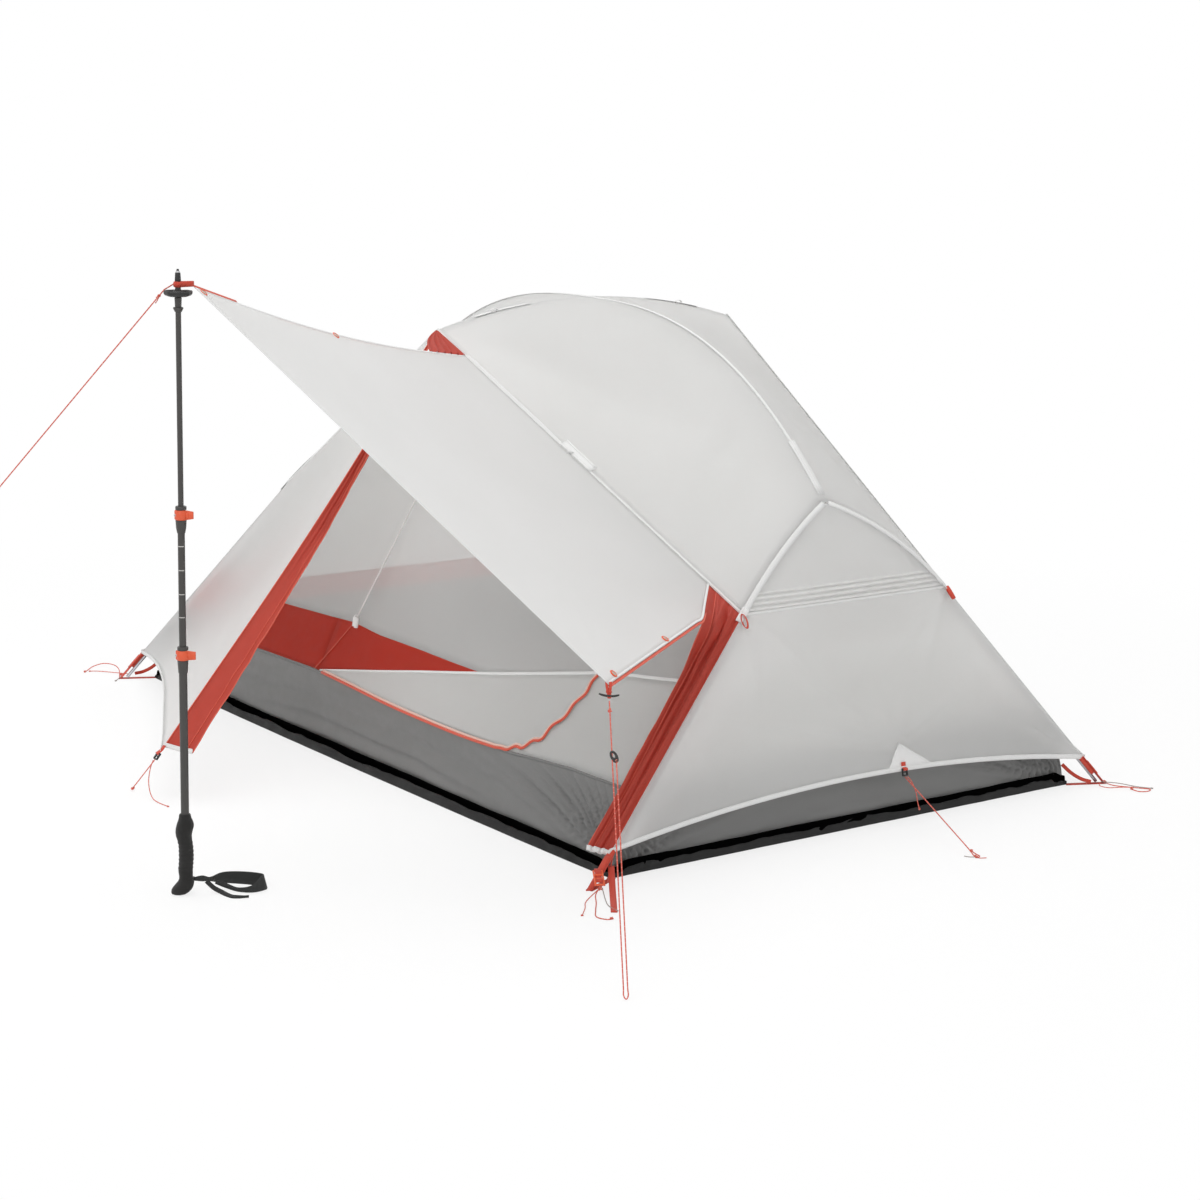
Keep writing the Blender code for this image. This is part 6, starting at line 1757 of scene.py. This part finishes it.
def add_lever(name, top, radius, node, tab_height):
    """A lock lever round its clamp, with a thumb tab and a small adjusting screw."""
    middle = point(*POLE_PLACE, top - 0.007 - 0.01075)
    outer = radius + 0.0012 + 0.0032
    start = math.atan2(VIEW_RIGHT[1], VIEW_RIGHT[0])
    line, height = [], []
    tab = outer + 0.014
    for t in steps(8):
        line.append(VIEW_RIGHT * (tab - (tab - outer * 0.95) * t) + VIEW_NEAR * (radius * 0.55 - 0.001 * t))
        height.append(tab_height[0] + tab_height[1] * t)
    for t in steps(26):
        angle = start - math.radians(18) - math.radians(160) * t
        line.append((radius + 0.0028) * point(math.cos(angle), math.sin(angle), 0))
        height.append(0.0205)
    lever = Shape()
    lever.band(np.array(line) + middle, UP, height, 0.0030)
    root = middle + VIEW_RIGHT * (outer + 0.001) + VIEW_NEAR * (radius * 0.5)
    lever.block(root, (VIEW_RIGHT, VIEW_NEAR, UP), (0.008, 0.0046, 0.0125))
    lever.block(middle - VIEW_RIGHT * (radius + 0.0036), (VIEW_RIGHT, VIEW_NEAR, UP),
                (0.0040, 0.0060, 0.0190))
    lever.make(name, ORANGE, name, node)
    screw = Shape()
    screw.lathe([(0.0, 0), (0.0022, 0), (0.0024, 0.0008), (0.0024, 0.0022), (0.0018, 0.0028), (0.0, 0.0028)],
                middle - VIEW_RIGHT * (radius + 0.0040) + VIEW_NEAR * 0.0026, 0, 20, VIEW_NEAR)
    screw.make(name + "_screw", STEEL, name)


# Height, lean away from the strap, half width, half depth, and lean towards the camera
GRIP_SECTIONS = ((0.0002, 0.0135, 0.0080, 0.0090, 0.010), (0.0020, 0.0125, 0.0150, 0.0130, 0.012),
                 (0.0060, 0.0100, 0.0185, 0.0155, 0.012), (0.0110, 0.0072, 0.0208, 0.0165, 0.011),
                 (0.0160, 0.0040, 0.0206, 0.0167, 0.009), (0.0210, 0.0012, 0.0188, 0.0164, 0.006),
                 (0.0260, -0.0012, 0.0168, 0.0156, 0.003), (0.0310, -0.0014, 0.0150, 0.0146, 0.001),
                 (0.0360, -0.0005, 0.0141, 0.0142, 0.0), (0.0436, 0.0002, 0.0147, 0.0142, 0.0),
                 (0.0512, 0.0004, 0.0150, 0.0142, 0.0), (0.0640, -0.0009, 0.0148, 0.0144, 0.0),
                 (0.0768, -0.0015, 0.0151, 0.0146, 0.0), (0.0896, -0.0015, 0.0151, 0.0148, 0.0),
                 (0.1024, -0.0006, 0.0150, 0.0150, 0.0), (0.1152, 0.0014, 0.0155, 0.0154, 0.0),
                 (0.1228, 0.0027, 0.0163, 0.0160, 0.0), (0.1305, 0.0028, 0.0174, 0.0168, 0.0),
                 (0.1356, 0.0021, 0.0179, 0.0170, 0.0), (0.1408, 0.0008, 0.0184, 0.0168, 0.0),
                 (0.1433, 0.0, 0.0184, 0.0166, 0.0), (0.1484, -0.0004, 0.0176, 0.0160, 0.0),
                 (0.1535, -0.0006, 0.0157, 0.0150, 0.0), (0.1612, 0.0, 0.0126, 0.0126, 0.0),
                 (0.1676, 0.0003, 0.0118, 0.0118, 0.0), (0.1690, 0.0, 0.0108, 0.0108, 0.0))


def add_grip(axis):
    """Foam grip whose head leans to the free side, with a parting line and shallow grooves."""
    away = -VIEW_RIGHT
    cross = point(-away[1], away[0], 0)
    heights, *profiles = np.array(GRIP_SECTIONS).T
    fine = np.concatenate([steps(10, 0.0002, 0.012), steps(64, 0.014, GRIP_TOP)])
    turn = around(40)
    from_seam = np.minimum(np.abs(turn - math.pi / 2), np.abs(turn - 1.5 * math.pi))
    seam = -0.0004 * np.exp(-(from_seam / 0.06) ** 2)
    rows = []
    for z, lean, wide, deep, near in zip(fine, *(np.interp(fine, heights, values) for values in profiles)):
        groove = 0.00045 * math.cos(z * math.tau / 0.009)
        groove *= smooth_step(0.045, 0.055, z) * (1 - smooth_step(0.108, 0.118, z))
        grow = groove + seam + 0.00035 * lattice(np.cos(turn) * 3 + 7, z * 90, 5)
        centre = axis + UP * z + away * lean + cross * near
        rows.append(centre + (np.cos(turn) * (wide + grow))[:, None] * away
                    + (np.sin(turn) * (deep + grow))[:, None] * cross)
    grip = Shape()
    grip.grid(rows, wrap=True, turned=True)
    last = 40 * (len(fine) - 1)
    grip.faces.extend([tuple(range(40)), tuple(range(last + 39, last - 1, -1))])
    grip.spots.extend([tuple((0.01 * math.cos(t), 0.01 * math.sin(t)) for t in turn)] * 2)
    grip.looks.extend([0, 0])
    piece = grip.make("grip", FOAM, replaces="pole_grip")
    slot = Shape()
    slot.block(axis + UP * 0.030 + VIEW_RIGHT * 0.0150, (VIEW_RIGHT, unit(np.cross(UP, VIEW_RIGHT)), UP),
               (0.0040, 0.020, 0.0060))
    slot.make("grip_strap_slot", BLACK)


def add_wrist_strap(axis):
    """Wrist strap fallen in a loop beside the grip, with a folded tail."""
    root = axis + UP * 0.030 + VIEW_RIGHT * 0.0168
    route = [(*root, 0.004), (0.6920, -1.4570, 0.0320, 0.0072), (0.6980, -1.4430, 0.0300, 0.0050),
             (0.6900, -1.4150, 0.0265, 0.0120), (0.6910, -1.3820, 0.0210, 0.0150),
             (0.7100, -1.3540, 0.0190, 0.0160), (0.7330, -1.3360, 0.0178, 0.0160),
             (0.7460, -1.3450, 0.0172, 0.0155), (0.7480, -1.3700, 0.0098, 0.0080),
             (0.7270, -1.3930, 0.0062, 0.0046), (0.7090, -1.4150, 0.0150, 0.0052),
             (0.7050, -1.4340, 0.0240, 0.0040)]
    route = through(route, 8)
    line, half = route[:, :3], route[:, 3]
    line[:, 2] = np.maximum(line[:, 2], half + 0.0012)
    strap = Shape()
    strap.band(line, UP + np.cross(unit(np.gradient(line, axis=0)), UP) * 0.25, 2 * half, 0.0017)
    tail = laid([(0.6950, -1.4500, 0.026), (0.7050, -1.4380, 0.012), (0.7180, -1.4290, 0.0060),
                 (0.7360, -1.4240, 0.0030), (0.7530, -1.4190, 0.0022), (0.7640, -1.4070, 0.0020),
                 (0.7700, -1.3920, 0.0020)], 5, 0.0014)
    strap.band(tail, point(0.5, 0.8, 0.5), 0.010, 0.0016)
    strap.make("wrist_strap_webbing", DARK_STRAP, replaces="wrist_strap")
    keeper = Shape()
    ahead = unit(line[20] - line[16])
    keeper.block(line[18], (ahead, np.cross(UP, ahead), UP), (0.010, 0.0058, 0.0100))
    keeper.make("wrist_strap_keeper", BLACK)


def add_tip_webbing(axis):
    """Webbing loop that holds the awning's corner on the pole's tip."""
    wrap = Shape()
    centre = axis + UP * LOOP_HEIGHT
    reach = AWNING_POLE_CORNER[1] - POLE_PLACE[1] - 0.001
    clear = 0.0062
    shares = steps(4, 0.2, 0.8)
    there = [point(0.0016 + (clear - 0.0006) * t, reach * (1 - t), 0) for t in shares]
    back = [point(-(clear + 0.001) + (clear - 0.0006) * t, reach * t, 0) for t in shares]
    bend = [(clear + 0.0012) * point(math.cos(a), math.sin(a), 0) for a in np.linspace(0, -math.pi, 18)]
    line = centre + np.array([point(0.0016, reach, 0), *there, *bend, *back, point(-0.0016, reach, 0)])
    wrap.band(line, UP, 0.0112, 0.0016)
    turn = np.linspace(0.3, -math.pi - 0.3, 18)
    second = centre + np.column_stack([(clear + 0.0024) * np.cos(turn), (clear + 0.0024) * np.sin(turn),
                                       0.0006 * np.cos(2 * turn)])
    wrap.band(second, UP, 0.0070, 0.0012)
    wrap.make("tip_webbing", STRAP, "pole_upper", "tip_loop")


def add_frame_looks():
    """Give the model's own rigid parts their materials."""
    for look, names in ((SHAFT, ("pole_lower_shaft", "pole_middle_shaft", "pole_upper_shaft")),
                        (POLE, ("ridge_pole", "spreader_pole", "leg_back_left", "leg_back_right",
                                "leg_front_left", "leg_front_right")),
                        (BLACK, ("hub_left", "hub_right"))):
        for name in names:
            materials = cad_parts[name].data.materials
            materials.clear()
            materials.append(look)


WHITE = (1, 1, 1, 1)
FLOOR_REACH = 30.0
WORLD_LIGHT = 0.72
LAMPS = (("top_light", (-0.5, -0.8, 6.0), 150.0, 5.0), ("front_light", (3.5, -5.5, 3.5), 60.0, 4.0))


def add_stage():
    """Pale floor, white surroundings and soft light."""
    mesh = bpy.data.meshes.new("floor")
    mesh.from_pydata([(-FLOOR_REACH, -FLOOR_REACH, 0), (FLOOR_REACH, -FLOOR_REACH, 0),
                      (FLOOR_REACH, FLOOR_REACH, 0), (-FLOOR_REACH, FLOOR_REACH, 0)], [], [(0, 1, 2, 3)])
    floor = bpy.data.objects.new("floor", mesh)
    bpy.context.scene.collection.objects.link(floor)
    look = Look("floor_surface", 0.9)
    look.shader.inputs["Base Color"].default_value = (0.93, 0.93, 0.93, 1)
    glow = look.put("ShaderNodeEmission", {"Color": WHITE, "Strength": 1.0})
    away = look.put("ShaderNodeVectorMath", {0: look.place()}, operation="LENGTH").outputs["Value"]
    glowing = look.put("ShaderNodeMapRange", {"Value": away, "From Min": 1.2, "From Max": 3.2, "To Min": 0.74,
                                              "To Max": 1.0}, interpolation_type="SMOOTHSTEP").outputs[0]
    look.finish(look.mix(look.times(look.seen(), glowing), look.shader, glow))
    mesh.materials.append(look.material)

    world = bpy.data.worlds.new("surroundings")
    bpy.context.scene.world = world
    world.use_nodes = True
    world.node_tree.nodes.clear()
    sky = Nodes(world.node_tree, world.node_tree.nodes.new("ShaderNodeOutputWorld"))
    light = sky.put("ShaderNodeBackground", {"Color": WHITE, "Strength": WORLD_LIGHT})
    plain = sky.put("ShaderNodeBackground", {"Color": WHITE, "Strength": 1.0})
    sky.finish(sky.mix(sky.seen(), light, plain))
    for name, place, power, width in LAMPS:
        data = bpy.data.lights.new(name, "AREA")
        data.energy = power
        data.size = width
        lamp = bpy.data.objects.new(name, data)
        lamp.location = place
        lamp.rotation_mode = "QUATERNION"
        lamp.rotation_quaternion = (Vector((0, 0, 0.4)) - Vector(place)).to_track_quat("-Z", "Y")
        bpy.context.scene.collection.objects.link(lamp)
    bpy.context.scene.view_settings.view_transform = "Standard"


add_camera()
add_cords()
add_frame_looks()
add_groundsheet()
add_tub()
add_inner_tent()
add_inner_tapes()
add_door_zip()
add_canopy()
add_ends()
add_vestibules()
add_awning()
add_awning_hardware()
add_flaps()
add_straps()
add_buckle()
add_knees()
add_tensioners()
add_trekking_pole()
add_stage()
